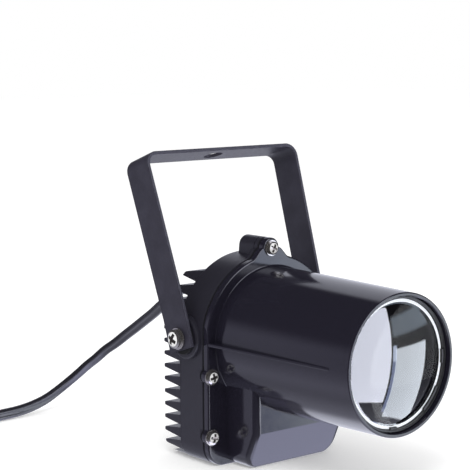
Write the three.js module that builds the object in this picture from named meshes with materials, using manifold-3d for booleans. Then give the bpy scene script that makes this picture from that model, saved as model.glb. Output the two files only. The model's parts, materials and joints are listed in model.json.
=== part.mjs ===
// A small LED pinspot light that stands on its flat base or hangs from its U-shaped bracket.
// Millimetres, +Z up, the beam points towards -Y.
// The origin is on the base face, straight below the axis that the bracket tilts about.
import * as THREE from "three";
import Module from "manifold-3d";
import { mergeVertices } from "three/addons/utils/BufferGeometryUtils.js";

const wasm = await Module();
wasm.setup();

// Places that the whole light is laid out from
const tubeFloor = 20.7; // the lens tube's underside above the base, at the flange
const pivotRise = 2; // the tilt axis above the beam's axis
const pivotSetback = 13.8; // the tilt axis behind the flange's front face
const clearance = 0.3; // between a piece and what it passes through
const overrun = 1; // how far a cutter runs past what it cuts

// Outline that the casting, the gasket and the flange share
const crownRadius = 34.5;
const sideDraw = 0.8; // the flat sides lie this far inside the crown's circle
const baseCorner = 8;
const earRadius = 3.4; // half-round ears that carry the side screws
const earInset = 1.6; // from the flat side to the screw's centre
const lugStep = 2.9; // the top screw outside the crown's circle
const lugRadius = 4.3;
const lugFlare = 9.5; // half the width over which the lug blends into the crown
const midScrewDrop = 12.8; // below the beam's axis
const lowScrewHeight = 12.6; // above the base

// Finned rear casting
const castWall = 2.6;
const castDepth = 16.1;
const rearWall = 4;
const rearRound = 1.2;
const lugBossDepth = 12.6;
const lipDepth = 2.4; // of the flared lip in front of the lug's boss
const screwBossRadius = 3.2;
const screwBossDepth = 9;
const earFade = 5; // length of the cone that fades an ear into the wall
const finPitch = 5.42;
const finFirst = 0.3; // middle of the lowest fin above the base
const finDepth = 10.3;
const finRoot = 4.6;
const finTip = 1.5;
const finInset = 0.3;
const pivotPadRadius = 9;
const pivotPadHeight = 2;
const pivotPadRound = 0.6;
const pivotBossRadius = 4.6;
const pivotBossDepth = 8;
const pedestalRadius = 8.8;
const pedestalDepth = 6.9;
const boardLedgeWidth = 20;
const boardLedgeDepth = 4;

// Moulded front housing
const flangeThick = 3;
const flangeRound = 0.6;
const tubeLength = 76.4; // from the flange's front face to the rim
const tubeInset = 4.7; // the tube's root inside the crown's circle
const tubeTaper = 1.8; // from the root's radius to the rim's
const rootFillet = 1.5;
const tubeWall = 2;
const rimWall = 1.5;
const rimRound = 0.4;
const ribThick = 1.4;
const ribRise = 0.6; // middle of the side rib above the beam's axis
const ribReach = 66; // from the flange to where the rib sinks into the tube
const boxInset = 9.4; // the box's side inside the flange's side
const boxDepth = 18.9; // the upright front face ahead of the flange
const boxFootDepth = 11.6; // the foot of the slanting face ahead of the flange
const boxCrease = 15.9; // where the slant begins, above the base
const boxSide = 6.5; // radius between the box's sides and its base
const boxNose = 2.6; // radius between the box's sides and its front
const boxWall = 2;

// Gasket in the seam
const gasketThick = 0.9;
const gasketWidth = 2.2;
const gasketInset = 0.4;

// Lens and the ring that holds it
const lensEdge = 2.6;
const lensRecess = 3.4; // the lens's flat edge behind the rim
const lensBevel = 1; // width of the flat ground edge outside the dome
const lensFrontBulge = 3.2;
const lensBackBulge = 3.6;
const ledgeThick = 1.6;
const ledgeReach = 0.8; // how far the ledge laps the lens's edge
const retainerThick = 1.4;
const retainerWall = 0.85;
const tabThick = 1;
const tabReach = 0.9; // how far a tab laps the lens

// Light source
const starRadius = 12.5;
const starThick = 1.6;
const padThick = 0.5;
const emitterRadius = 2.6;
const emitterHeight = 2.1;
const holderRadius = 7.6;
const holderWall = 0.9;
const holderHeight = 9;
const collimatorHeight = 8;
const collimatorBack = 3.6;
const starScrewReach = 10.4; // from the beam's axis
const starScrewBoss = 2.6;

// Driver
const boardAir = 4.3; // from the board's side to the box's wall
const boardLength = 21;
const boardThick = 1.6;
const boardLift = 6; // underside above the base
const boardFront = 9.8; // front edge ahead of the flange's front face
const postRadius = 2.8;
const postForward = 3.4; // the posts ahead of the flange's front face
// Pieces on the board: how far their middles lie ahead of its rear edge, and the air left
// between their tops and the lens tube
const core = { ahead: 11.4, long: 10, air: 4.5, bobbin: 1.2 };
const capA = { ahead: 5, air: 2.7 };
const capB = { ahead: 10.8, air: 5.1 };
const choke = { gap: 1, air: 6.7 }; // the gap is to the can behind it
const supplyBlock = { ahead: 3.4, long: 6, air: 6.7 };
// Their places across the board and their widths, as shares of its width
const boardShares = {
  core: { x: 0.028, wide: 0.333 },
  capA: { x: 0.367, wide: 0.222 },
  capB: { x: -0.239, wide: 0.144 },
  choke: { x: -0.23, wide: 0.14 },
  supplyBlock: { x: -0.333, wide: 0.222 },
  posts: 0.78,
};
const leadThick = 1.3;
const supplyThick = 2.4;
const leadOrbit = 16.4; // the supply lead's distance from the beam's axis
const aroundShares = [[0.06, 0.3], [0.14, 0.4], [0.25, 0.5]]; // of a turn, and of its way forward
const downShares = [[0.7, 0.62], [1.5, 0.81]]; // of the orbit below the axis, and of its way forward

// Screws: shank and head diameters, head height, length under the head and captive washer
const m3 = { shank: 2.9, head: 5.6, tall: 2.2, long: 9.5, washer: 6.4, thick: 0.5 };
const m4 = { shank: 3.9, head: 7.8, tall: 2.9, long: 12.4, washer: 0, thick: 0 };
const m25 = { shank: 2.3, head: 4, tall: 1.5, long: 5, washer: 0, thick: 0 };
const crossShares = { long: 0.6, wide: 0.17, deep: 0.6 }; // of the head's width and height

// Bracket and its pivots
const strapWidth = 15.5;
const strapThick = 1.5;
const strapFoot = 5; // from the pivot down to the end of an arm
const strapUpright = 9; // the arm runs straight for this far above the pivot
const strapRise = 77.6; // from the pivot to the bar's outer face
const strapBend = 4; // inside radius of the two bends
const armSplay = THREE.MathUtils.degToRad(2.5);
const leanBack = THREE.MathUtils.degToRad(19);
const frictionRadius = 7;
const frictionThick = 1;
const pivotPlay = 0.15;
const washerRadius = 4.5;
const washerThick = 0.8;
const hangHole = 8.4;

// Mains cord: a flat twin flex, its strain relief, coil, tie and plug
const flexWide = 5.2;
const flexThick = 2.7;
const flexEdgeShare = 0.55; // half height of the flex's edge facet, of half its thickness
const glandRise = 12.8; // above the beam's axis
const glandNeck = 3.6;
const glandInner = 2.4;
const glandBossRadius = 7;
const glandBossShort = 0.7; // the boss stops this far short of the fins' tips
const glandCollarRadius = 5.6;
const glandCollar = 1.8;
const bootLength = 20;
const bootRoot = 4.4; // half width of the boot at its root
const bootEnd = 3.4;
const bootGroove = 0.7;
const bootRings = 5;
const bootShare = 0.78; // the boot's height as a share of its width
const flexTwistPower = 1.5; // how late along the run the flex turns on edge
const coilPitch = 3.9; // radial step of one turn
const coilInner = 23.8; // middle of the innermost turn
const coilRise = 5.9; // from the lower layer to the upper one
const coilTurnsIn = 2;
const coilTurnsOut = 2.25;
const coilClimb = 0.25;
const coilX = -84;
const coilY = 142.2;
const coilTail = 13;
const tailShares = [0.1, 0.35, 0.6, 1];
const floorGap = 0.05;
const tieWidth = 9;
const tieThick = 0.9;
const tieShare = 0.14; // share of a turn over which the turns rise over the tie
const plugWide = 24;
const plugTall = 14;
const plugLong = 28;
const plugNeckWide = 8;
const plugNeckTall = 6.4;
const plugStationShares = [0.3, 0.42, 0.58, 0.7, 0.93]; // neck, slope, shoulder, full size, edge
const plugEdge = 1; // how far the plug draws in at its ends, on each side
const bladeWide = 6.3;
const bladeThick = 1.5;
const bladeLong = 16;
const bladeGap = 12.7; // between the middles of the two blades
const bladeHole = 3.2;

// Places and radii that several pieces share
const flangeFront = -pivotSetback;
const flangeBack = flangeFront + flangeThick;
const castFront = flangeBack + gasketThick;
const castRear = castFront + castDepth;
const finEnd = castRear + finDepth;
const cavityRear = castRear - rearWall;
const rimFace = flangeFront - tubeLength;
const lensFront = rimFace + lensRecess;
const lensBack = lensFront + lensEdge;
const pedestalFace = cavityRear - pedestalDepth;
const starBack = pedestalFace - padThick;
const starFront = starBack - starThick;
const halfWidth = crownRadius - sideDraw;
const tubeRootRadius = crownRadius - tubeInset;
const tubeRimRadius = tubeRootRadius - tubeTaper;
const axisHeight = tubeFloor + tubeRootRadius;
const lugRise = crownRadius + lugStep;
const lensRadius = tubeRimRadius - rimWall - clearance - retainerWall - clearance / 2;
const boxHalfWidth = halfWidth - boxInset;
const boardWidth = 2 * (boxHalfWidth - boxWall - boardAir);
const postSpacing = boardWidth * boardShares.posts;
const chokeWidths = boardWidth * (boardShares.capB.wide + boardShares.choke.wide);
const chokeAhead = capB.ahead + chokeWidths / 2 + choke.gap;
const pivotHeight = axisHeight + pivotRise;
const glandHeight = axisHeight + glandRise;
const padFace = halfWidth + pivotPadHeight;
const boardTop = boardLift + boardThick;
const boardNose = flangeFront - boardFront;
const boardRear = boardNose + boardLength;
const postY = flangeFront - postForward;
const strapInner = padFace + frictionThick + pivotPlay;
const washerSeat = strapInner + strapThick + pivotPlay;
const screwSeat = washerSeat + washerThick;
const glandSeat = finEnd - glandBossShort;
const bootEndY = glandSeat + glandCollar + bootLength;

const facets = { tube: 48, crown: 28, round: 24, screw: 16, inner: 10, corner: 4, dome: 3 };
const flexFacets = { run: 38, runSides: 8, turn: 24, coilSides: 6 };
const quarter = Math.PI / 2;

// Helpers

function point(x, y) {
  return new THREE.Vector2(x, y);
}

// Points of an arc about (x, y), from one angle to another
function arc(x, y, radius, from, to, steps) {
  return Array.from({ length: steps + 1 }, (_, i) => {
    const angle = from + ((to - from) * i) / steps;
    return point(x + radius * Math.cos(angle), y + radius * Math.sin(angle));
  });
}

// A prism: drawn in (y, z) it runs along X, in (x, z) along Y and in (x, y) along Z
function prism(axis, outline, low, high, bevel = 0) {
  const geometry = new THREE.ExtrudeGeometry(
    outline instanceof THREE.Shape ? outline : new THREE.Shape(outline),
    {
      depth: high - low - 2 * bevel,
      bevelEnabled: bevel > 0,
      bevelThickness: bevel,
      bevelSize: bevel,
      bevelOffset: -bevel,
      bevelSegments: 2,
      curveSegments: facets.corner,
    },
  );
  geometry.translate(0, 0, bevel);
  const turn = new THREE.Matrix4();
  const [x, y, z] = [0, 1, 2].map((i) => new THREE.Vector3().setComponent(i, 1));
  if (axis === "X") turn.makeBasis(y, z, x);
  if (axis === "Y") turn.makeBasis(x, z, y.clone().negate());
  geometry.applyMatrix4(turn);
  if (axis === "X") geometry.translate(low, 0, 0);
  if (axis === "Y") geometry.translate(0, high, 0);
  if (axis === "Z") geometry.translate(0, 0, low);
  return geometry;
}

// A rod or cone along an axis through (x, y, z), between two places on that axis
function rod(axis, radius, low, high, [x, y, z], sides = facets.screw, highRadius = radius) {
  const geometry = new THREE.CylinderGeometry(highRadius, radius, high - low, sides);
  geometry.translate(0, (low + high) / 2, 0);
  if (axis === "X") geometry.rotateZ(-quarter);
  if (axis === "Z") geometry.rotateX(quarter);
  return geometry.translate(x, y, z);
}

function block(low, high) {
  const size = high.map((value, i) => value - low[i]);
  const middle = high.map((value, i) => (value + low[i]) / 2);
  return new THREE.BoxGeometry(...size).translate(...middle);
}

// A solid of revolution about the beam's axis, from points (radius, y)
function revolve(profile, segments = facets.tube) {
  return new THREE.LatheGeometry(profile, segments).translate(0, 0, axisHeight);
}

// A closed skin over rings of equally many points
function loft(rings) {
  const count = rings[0].length;
  const places = rings.flat().flatMap((p) => [p.x, p.y, p.z]);
  const index = [];
  for (let r = 0; r + 1 < rings.length; r++) {
    for (let i = 0; i < count; i++) {
      const next = (i + 1) % count;
      const [a, b] = [r * count + i, r * count + next];
      index.push(a, b, b + count, a, b + count, a + count);
    }
  }
  const last = (rings.length - 1) * count;
  for (let i = 1; i + 1 < count; i++) {
    index.push(0, i + 1, i, last, last + i, last + i + 1);
  }
  const geometry = new THREE.BufferGeometry();
  geometry.setAttribute("position", new THREE.Float32BufferAttribute(places, 3));
  geometry.setIndex(index);
  return geometry;
}

// Volume with its sign, which is negative when the faces point inwards
function signedVolume(places, index) {
  const corner = [0, 1, 2].map(() => new THREE.Vector3());
  let sum = 0;
  for (let i = 0; i < index.length; i += 3) {
    corner.forEach((c, k) => c.fromArray(places, 3 * index[i + k]));
    sum += corner[0].dot(corner[1].clone().cross(corner[2]));
  }
  return sum;
}

// A closed three.js geometry as a solid that can be joined and cut
function solid(geometry) {
  const bare = geometry.clone();
  bare.deleteAttribute("normal");
  bare.deleteAttribute("uv");
  const merged = mergeVertices(bare);
  const places = merged.attributes.position.array;
  const kept = [];
  for (let i = 0; i < merged.index.count; i += 3) {
    const [a, b, c] = [0, 1, 2].map((k) => merged.index.getX(i + k));
    if (a !== b && b !== c && c !== a) kept.push(a, b, c);
  }
  if (signedVolume(places, kept) < 0) kept.reverse();
  return new wasm.Manifold(
    new wasm.Mesh({
      numProp: 3,
      vertProperties: new Float32Array(places),
      triVerts: new Uint32Array(kept),
    }),
  );
}

function join(...pieces) {
  return pieces.map((p) => (p.isBufferGeometry ? solid(p) : p)).reduce((a, b) => a.add(b));
}

function cut(body, ...tools) {
  return body.subtract(join(...tools));
}

const light = new THREE.Group();

function place(name, shape, finish, parent = light) {
  const { vertProperties, triVerts } = (shape.isBufferGeometry ? solid(shape) : shape).getMesh();
  const geometry = new THREE.BufferGeometry();
  geometry.setAttribute("position", new THREE.BufferAttribute(vertProperties, 3));
  geometry.setIndex(new THREE.BufferAttribute(triVerts, 1));
  geometry.computeVertexNormals();
  const mesh = new THREE.Mesh(geometry, finish);
  mesh.name = name;
  parent.add(mesh);
  return mesh;
}

function finish(color, roughness, metalness, more = {}) {
  return new THREE.MeshStandardMaterial({ color, roughness, metalness, ...more });
}

const finishes = {
  castAluminium: finish(0x24242a, 0.55, 0.3),
  glossPlastic: finish(0x15141b, 0.16, 0),
  rubber: finish(0x17171a, 0.8, 0),
  glass: finish(0xe8eef4, 0.03, 0, { transparent: true, opacity: 0.35 }),
  strapSteel: finish(0x35333d, 0.5, 0.2),
  nickel: finish(0xc9c4bd, 0.25, 0.95),
  circuit: finish(0x1c5a34, 0.5, 0),
  whiteBoard: finish(0xe6e6e2, 0.5, 0),
  emitter: finish(0xf3e08a, 0.4, 0),
  acrylic: finish(0xf2f6fa, 0.05, 0, { transparent: true, opacity: 0.4 }),
  blackNylon: finish(0x1b1b1f, 0.5, 0),
  siliconePad: finish(0xb9bec6, 0.8, 0),
  ferrite: finish(0x3b3a3c, 0.7, 0.1),
  copperTape: finish(0xd9b24a, 0.4, 0.2),
  sleeveBlue: finish(0x27356b, 0.4, 0.1),
  redLead: finish(0xb0231f, 0.45, 0),
  blackLead: finish(0x18181a, 0.45, 0),
  flex: finish(0x1e1d24, 0.35, 0),
  brass: finish(0xc9a961, 0.3, 0.9),
};

// The shared outline: a round crown, flat sides and a flat base with round corners
function bell(inset = 0, steps = facets.crown) {
  const radius = crownRadius - inset;
  const side = Math.min(halfWidth - inset, radius);
  const start = Math.acos(side / radius);
  const corner = Math.max(baseCorner - inset, clearance);
  const crown = arc(0, axisHeight, radius, start, Math.PI - start, steps);
  const left = arc(corner - side, inset + corner, corner, Math.PI, 3 * quarter, facets.corner);
  const right = arc(side - corner, inset + corner, corner, -quarter, 0, facets.corner);
  return [...crown, ...left, ...right];
}

// The lug for the top screw, with a foot that flares into the crown on both sides
function lug(inset = 0) {
  const foot = Math.sqrt(crownRadius ** 2 - lugFlare ** 2) - inset;
  const middle = axisHeight + lugRise;
  const radius = lugRadius - inset;
  const flare = (side) =>
    new THREE.QuadraticBezierCurve(
      point(side * radius, middle),
      point(side * radius, axisHeight + (foot + lugRise) / 2),
      point(side * lugFlare, axisHeight + foot - sideDraw / 2),
    ).getPoints(facets.corner);
  const top = arc(0, middle, radius, 0, Math.PI, facets.inner);
  const below = axisHeight + foot / 2;
  return [
    ...top,
    ...flare(-1).slice(1),
    point(-lugFlare, below),
    point(lugFlare, below),
    ...flare(1).reverse().slice(0, -1),
  ];
}

// Where the five screws that close the light are, as (x, z)
const screwX = halfWidth - earInset;
const housingScrews = {
  top: [0, axisHeight + lugRise],
  mid_left: [-screwX, axisHeight - midScrewDrop],
  mid_right: [screwX, axisHeight - midScrewDrop],
  low_left: [-screwX, lowScrewHeight],
  low_right: [screwX, lowScrewHeight],
};
const sideScrews = Object.values(housingScrews).slice(1);

// A spherical cap's profile, from its rim to the axis, rising by the bulge in the given direction
function dome(radius, bulge, rim, direction, steps) {
  const sphere = (radius ** 2 + bulge ** 2) / (2 * bulge);
  const reach = Math.asin(radius / sphere);
  return Array.from({ length: steps + 1 }, (_, i) => {
    const angle = reach * (1 - i / steps);
    return point(sphere * Math.sin(angle), rim + direction * (sphere * Math.cos(angle) - sphere + bulge));
  });
}

// A pan-head screw with a cross recess: its head stands on z = 0 and its shank points down
function screw({ shank, head, tall, long, washer, thick }, sides = facets.screw) {
  const rim = thick + (tall - thick) / 3;
  const ring = [point(washer / 2, 0), point(washer / 2, thick)];
  const profile = [
    point(0, -long),
    point(shank / 4, -long),
    point(shank / 2, -long + shank / 2),
    point(shank / 2, 0),
    ...(thick > 0 ? ring : []),
    point(head / 2, thick),
    ...dome(head / 2, tall - rim, rim, 1, facets.dome),
  ];
  const body = new THREE.LatheGeometry(profile, sides).rotateX(quarter);
  const arm = (crossShares.long * head) / 2;
  const half = (crossShares.wide * head) / 2;
  const floor = tall * (1 - crossShares.deep);
  const across = block([-arm, -half, floor], [arm, half, tall + overrun]);
  const along = block([-half, -arm, floor], [half, arm, tall + overrun]);
  return cut(solid(body), across, along);
}

// Rear casting: a deep cup with fins on its back, carrying the lamp, the pivots and the cord's boss
function heatsink() {
  const pads = [-1, 1].map((side) =>
    prism(
      "X",
      arc(0, pivotHeight, pivotPadRadius, 0, 2 * Math.PI, facets.round).slice(1),
      side > 0 ? halfWidth - castWall : -padFace,
      side > 0 ? padFace : castWall - halfWidth,
      pivotPadRound,
    ),
  );
  const padSpace = solid(
    block(
      [-padFace - overrun, castFront, 0],
      [padFace + overrun, castRear - rearRound, pivotHeight + pivotPadRadius + overrun],
    ),
  );
  const sunk = axisHeight + crownRadius / 2;
  const roundTop = arc(0, axisHeight + lugRise, lugRadius, 0, Math.PI, facets.inner);
  const stem = [...roundTop, point(-lugRadius, sunk), point(lugRadius, sunk)];
  const lugBoss = prism("Y", stem, castFront, castFront + lugBossDepth, rearRound);
  const lugFront = prism("Y", lug(), castFront, castFront + lipDepth);
  const ears = sideScrews.map(([x, z]) =>
    rod("Y", earRadius, castFront, castFront + earFade, [x, 0, z], facets.screw, earRadius / 2),
  );
  const outer = join(
    prism("Y", bell(), castFront, castFront + castDepth / 2),
    prism("Y", bell(), castFront, castRear, rearRound),
    lugBoss,
    lugFront,
    ...ears,
    ...pads.map((pad) => solid(pad).intersect(padSpace)),
  );
  const hollow = prism("Y", bell(castWall), castFront - overrun, cavityRear);
  const bosses = join(
    ...sideScrews.map(([x, z]) =>
      rod("Y", screwBossRadius, castFront, castFront + screwBossDepth, [x, 0, z]),
    ),
    ...[-1, 1].map((side) =>
      rod(
        "X",
        pivotBossRadius,
        side > 0 ? padFace - pivotPadHeight - pivotBossDepth : castWall - halfWidth,
        side > 0 ? halfWidth - castWall : pivotPadHeight + pivotBossDepth - padFace,
        [0, 0, pivotHeight],
      ),
    ),
    rod("Y", pedestalRadius, pedestalFace, cavityRear + rearWall / 2, [0, 0, axisHeight]),
    ...[-1, 1].map((side) =>
      rod(
        "Y",
        starScrewBoss,
        pedestalFace,
        cavityRear + rearWall / 2,
        [side * starScrewReach, 0, axisHeight],
      ),
    ),
    block(
      [-boardLedgeWidth / 2, boardRear - boardLedgeDepth, castWall / 2],
      [boardLedgeWidth / 2, boardRear, boardLift],
    ),
  );
  const inside = bosses.intersect(solid(prism("Y", bell(clearance), castFront, castRear)));
  return join(cut(outer, hollow), inside, fins(), glandBoss());
}

// Wedge fins, clipped to the casting's outline
function fins() {
  const tip = finTip / 2;
  const wedge = (z) => [
    point(castRear - rearWall / 2, z - finRoot / 2),
    point(finEnd - tip, z - tip),
    point(finEnd - tip / 3, z - tip / 2),
    point(finEnd, z),
    point(finEnd - tip / 3, z + tip / 2),
    point(finEnd - tip, z + tip),
    point(castRear - rearWall / 2, z + finRoot / 2),
  ];
  const top = axisHeight + crownRadius - finRoot;
  const count = Math.floor((top - finFirst) / finPitch) + 1;
  const rows = Array.from({ length: count }, (_, i) =>
    prism("X", wedge(finFirst + i * finPitch), -crownRadius, crownRadius),
  );
  const inOutline = join(...rows).intersect(solid(prism("Y", bell(finInset), cavityRear, finEnd + overrun)));
  return cut(inOutline, rod("Y", glandBossRadius, glandSeat, finEnd + overrun, [0, 0, glandHeight]));
}

// Round boss among the fins that the cord's strain relief sits in
function glandBoss() {
  return solid(rod("Y", glandBossRadius, cavityRear + rearWall / 2, glandSeat, [0, 0, glandHeight]));
}

function screwHoles(size, low, high) {
  return Object.values(housingScrews).map(([x, z]) =>
    rod("Y", size.shank / 2 + clearance, low, high, [x, 0, z]),
  );
}

function drilledHeatsink() {
  const depth = flangeFront + m3.long + clearance;
  const pivotHole = m4.shank / 2 + clearance;
  const pivotTip = screwSeat - m4.long - clearance;
  return cut(
    heatsink(),
    ...screwHoles(m3, castFront - overrun, depth),
    rod("X", pivotHole, pivotTip, padFace + overrun, [0, 0, pivotHeight]),
    rod("X", pivotHole, -padFace - overrun, -pivotTip, [0, 0, pivotHeight]),
    rod("Y", glandNeck + clearance, cavityRear - overrun, finEnd + overrun, [0, 0, glandHeight]),
    ...[-1, 1].map((side) =>
      rod(
        "Y",
        m25.shank / 2 + clearance,
        pedestalFace - overrun,
        starFront + m25.long + clearance,
        [side * starScrewReach, 0, axisHeight],
      ),
    ),
  );
}

// Front housing: flange, lens tube with its side ribs, and the box for the driver
function frontHousing() {
  const flange = join(
    prism("Y", bell(), flangeFront, flangeBack, flangeRound),
    prism("Y", bell(), flangeFront + flangeThick / 2, flangeBack),
    prism("Y", lug(), flangeFront, flangeBack),
    ...sideScrews.map(([x, z]) => rod("Y", earRadius, flangeFront, flangeBack, [x, 0, z])),
  );
  const fillet = arc(
    tubeRootRadius + rootFillet,
    flangeFront - rootFillet,
    rootFillet,
    quarter,
    2 * quarter,
    facets.corner,
  );
  const tube = solid(
    revolve([
      point(0, flangeBack - flangeThick / 2),
      point(tubeRootRadius + rootFillet, flangeBack - flangeThick / 2),
      ...fillet,
      point(tubeRimRadius, rimFace + rimRound),
      point(tubeRimRadius - rimRound, rimFace),
      point(0, rimFace),
    ]),
  );
  const ribEnd = tubeRootRadius + ((tubeRimRadius - tubeRootRadius) * ribReach) / tubeLength;
  const ribs = [-1, 1].map((side) =>
    prism(
      "Z",
      [
        point(0, flangeFront + flangeThick / 2),
        point(side * halfWidth, flangeFront + flangeThick / 2),
        point(side * halfWidth, flangeFront),
        point(side * ribEnd, flangeFront - ribReach),
        point(0, flangeFront - ribReach),
      ],
      axisHeight + ribRise - ribThick / 2,
      axisHeight + ribRise + ribThick / 2,
    ),
  );
  const box = driverBox(0);
  const boxHollow = driverBox(boxWall).subtract(tube);
  const bore = revolve([
    point(0, flangeBack + overrun),
    point(tubeRootRadius - tubeWall, flangeBack + overrun),
    point(tubeRootRadius - tubeWall, flangeFront),
    point(tubeRimRadius - tubeWall, lensBack + 2 * ledgeThick),
    point(tubeRimRadius - tubeWall, lensBack + ledgeThick),
    point(lensRadius - ledgeReach, lensBack + ledgeThick),
    point(lensRadius - ledgeReach, lensBack),
    point(lensRadius + clearance, lensBack),
    point(lensRadius + clearance, lensFront),
    point(tubeRimRadius - rimWall, lensFront),
    point(tubeRimRadius - rimWall, rimFace - overrun),
    point(0, rimFace - overrun),
  ]);
  const posts = [-1, 1].map((side) =>
    rod("Z", postRadius, boxWall / 2, boardLift, [(side * postSpacing) / 2, postY, 0]),
  );
  const pilots = [-1, 1].map((side) =>
    rod(
      "Z",
      m25.shank / 2 + clearance,
      boardTop - m25.long - clearance,
      boardTop,
      [(side * postSpacing) / 2, postY, 0],
    ),
  );
  const shell = cut(join(flange, tube, box, ...ribs), boxHollow, bore);
  return cut(join(shell, ...posts), ...pilots, ...screwHoles(m3, flangeFront - overrun, castFront));
}

// The box below the tube: its side profile, its front outline and its plan, in common
function driverBox(wall) {
  const back = wall > 0 ? flangeBack + overrun : flangeBack - flangeThick / 2;
  const slope = (boxDepth - boxFootDepth) / boxCrease;
  const lift = wall * (Math.sqrt(1 + slope ** 2) - 1);
  const foot = flangeFront - boxFootDepth + wall * (1 - slope) + lift;
  const crease = boxCrease + lift / slope;
  const profile = [
    point(back, wall),
    point(back, axisHeight),
    point(flangeFront - boxDepth + wall, axisHeight),
    point(flangeFront - boxDepth + wall, crease),
    point(foot, wall),
  ];
  const side = boxHalfWidth - wall;
  const low = boxSide - wall;
  const nose = boxNose - wall;
  const front = [
    point(side, axisHeight),
    point(-side, axisHeight),
    ...arc(low - side, boxSide, low, Math.PI, 3 * quarter, facets.corner),
    ...arc(side - low, boxSide, low, -quarter, 0, facets.corner),
  ];
  const noseY = flangeFront - boxDepth + boxNose;
  const plan = [
    point(side, back),
    point(-side, back),
    ...arc(nose - side, noseY, nose, Math.PI, 3 * quarter, facets.corner),
    ...arc(side - nose, noseY, nose, -quarter, 0, facets.corner),
  ];
  return solid(prism("X", profile, -side, side))
    .intersect(solid(prism("Y", front, flangeFront - boxDepth - overrun, back)))
    .intersect(solid(prism("Z", plan, 0, axisHeight + overrun)));
}

// Rubber gasket that fills the seam just inside the outline, with an eye round each screw
function gasket() {
  const steps = facets.crown / 2;
  const ring = new THREE.Shape(bell(gasketInset, steps));
  ring.holes.push(new THREE.Path(bell(gasketInset + gasketWidth, steps).reverse()));
  const eyes = sideScrews.map(([x, z]) =>
    rod("Y", earRadius - gasketInset, flangeBack, castFront, [x, 0, z]),
  );
  const bore = crownRadius - gasketInset - gasketWidth;
  const inside = rod("Y", bore, flangeBack - overrun, castFront + overrun, [0, 0, axisHeight], facets.tube);
  const top = cut(solid(prism("Y", lug(gasketInset), flangeBack, castFront)), inside);
  const band = join(prism("Y", ring, flangeBack, castFront), ...eyes, top);
  return cut(band, ...screwHoles(m3, flangeBack - overrun, castFront + overrun));
}

// Lens with a dome on each side and a flat ground edge
function lens() {
  const inner = lensRadius - lensBevel;
  const front = dome(inner, lensFrontBulge, lensFront, -1, facets.dome);
  const back = dome(inner, lensBackBulge, lensBack, 1, facets.dome).reverse();
  return revolve([...back, point(lensRadius, lensBack), point(lensRadius, lensFront), ...front]);
}

// Ring in the tube's mouth, with tabs that lap the lens's edge, placed by shares of a full turn
const tabTurnShares = [
  { at: 0, span: 0.036 },
  { at: -0.114, span: 0.072 },
  { at: -0.261, span: 0.022 },
  { at: 0.5, span: 0.036 },
];

function retainer() {
  const outer = tubeRimRadius - rimWall - clearance;
  const inner = lensRadius + clearance / 2;
  const back = lensFront - clearance / 2;
  const ring = revolve([
    point(inner, back),
    point(outer, back),
    point(outer, back - retainerThick),
    point(inner, back - retainerThick),
    point(inner, back),
  ]);
  const tabs = tabTurnShares.map(({ at, span }) => {
    const half = Math.PI * span;
    const middle = 2 * Math.PI * at;
    const middleRadius = (inner + outer) / 2;
    const wide = arc(0, 0, middleRadius, middle - half, middle + half, facets.corner);
    const narrow = arc(0, 0, lensRadius - tabReach, middle + half, middle - half, facets.corner);
    return prism("Y", [...wide, ...narrow], back - tabThick, back).translate(0, 0, axisHeight);
  });
  return join(ring, ...tabs);
}

// Light source: emitter on a round board, a collimator in its holder, and a pad to the casting
function collimator() {
  const back = starFront - clearance;
  const front = back - collimatorHeight;
  const wide = holderRadius - holderWall - clearance;
  const recess = emitterHeight + clearance;
  return revolve(
    [
      point(0, back - recess - clearance),
      point(emitterRadius + clearance, back - recess),
      point(emitterRadius + clearance, back),
      point(collimatorBack, back),
      point((collimatorBack + wide) / 2, (back + front) / 2),
      point(wide, front + holderWall),
      point(wide, front),
      point(0, front),
    ],
    facets.round,
  );
}

function holder() {
  const back = starFront;
  const front = starFront - holderHeight;
  const inner = holderRadius - holderWall;
  return revolve(
    [
      point(inner, back),
      point(holderRadius, back),
      point(holderRadius, front),
      point(inner, front),
      point(inner, back),
    ],
    facets.round,
  );
}

function emitter() {
  const base = emitterHeight / 3;
  const top = dome(emitterRadius - base, emitterHeight - base, starFront - base, -1, facets.dome);
  return revolve(
    [point(0, starFront), point(emitterRadius, starFront), point(emitterRadius, starFront - base), ...top],
    facets.screw,
  );
}

function starBoard() {
  const board = rod("Y", starRadius, starFront, starBack, [0, 0, axisHeight], facets.round);
  const holes = [-1, 1].map((side) =>
    rod(
      "Y",
      m25.shank / 2 + clearance,
      starFront - overrun,
      starBack + overrun,
      [side * starScrewReach, 0, axisHeight],
    ),
  );
  return cut(solid(board), ...holes);
}

// Driver board on the box's posts, with its parts standing on it
function driverBoard() {
  const outline = block([-boardWidth / 2, boardNose, boardLift], [boardWidth / 2, boardRear, boardTop]);
  const holes = [-1, 1].map((side) =>
    rod(
      "Z",
      m25.shank / 2 + clearance,
      boardLift - overrun,
      boardTop + overrun,
      [(side * postSpacing) / 2, postY, 0],
    ),
  );
  return cut(solid(outline), ...holes);
}

// Where a piece stands on the board, and how wide and tall it is
function standing(name, { ahead, air }) {
  return {
    x: boardWidth * boardShares[name].x,
    y: boardRear - ahead,
    wide: boardWidth * boardShares[name].wide,
    tall: tubeFloor - boardTop - air,
  };
}

// Ferrite core with a wound bobbin standing out of both sides
function transformer() {
  const { x, y, wide, tall } = standing("core", core);
  const { long, bobbin } = core;
  const body = block([x - wide / 2, y - long / 2, boardTop], [x + wide / 2, y + long / 2, boardTop + tall]);
  const winding = block(
    [x - wide / 3, y - long / 2 - bobbin, boardTop + bobbin],
    [x + wide / 3, y + long / 2 + bobbin, boardTop + tall - bobbin],
  );
  return join(body, winding);
}

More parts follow.
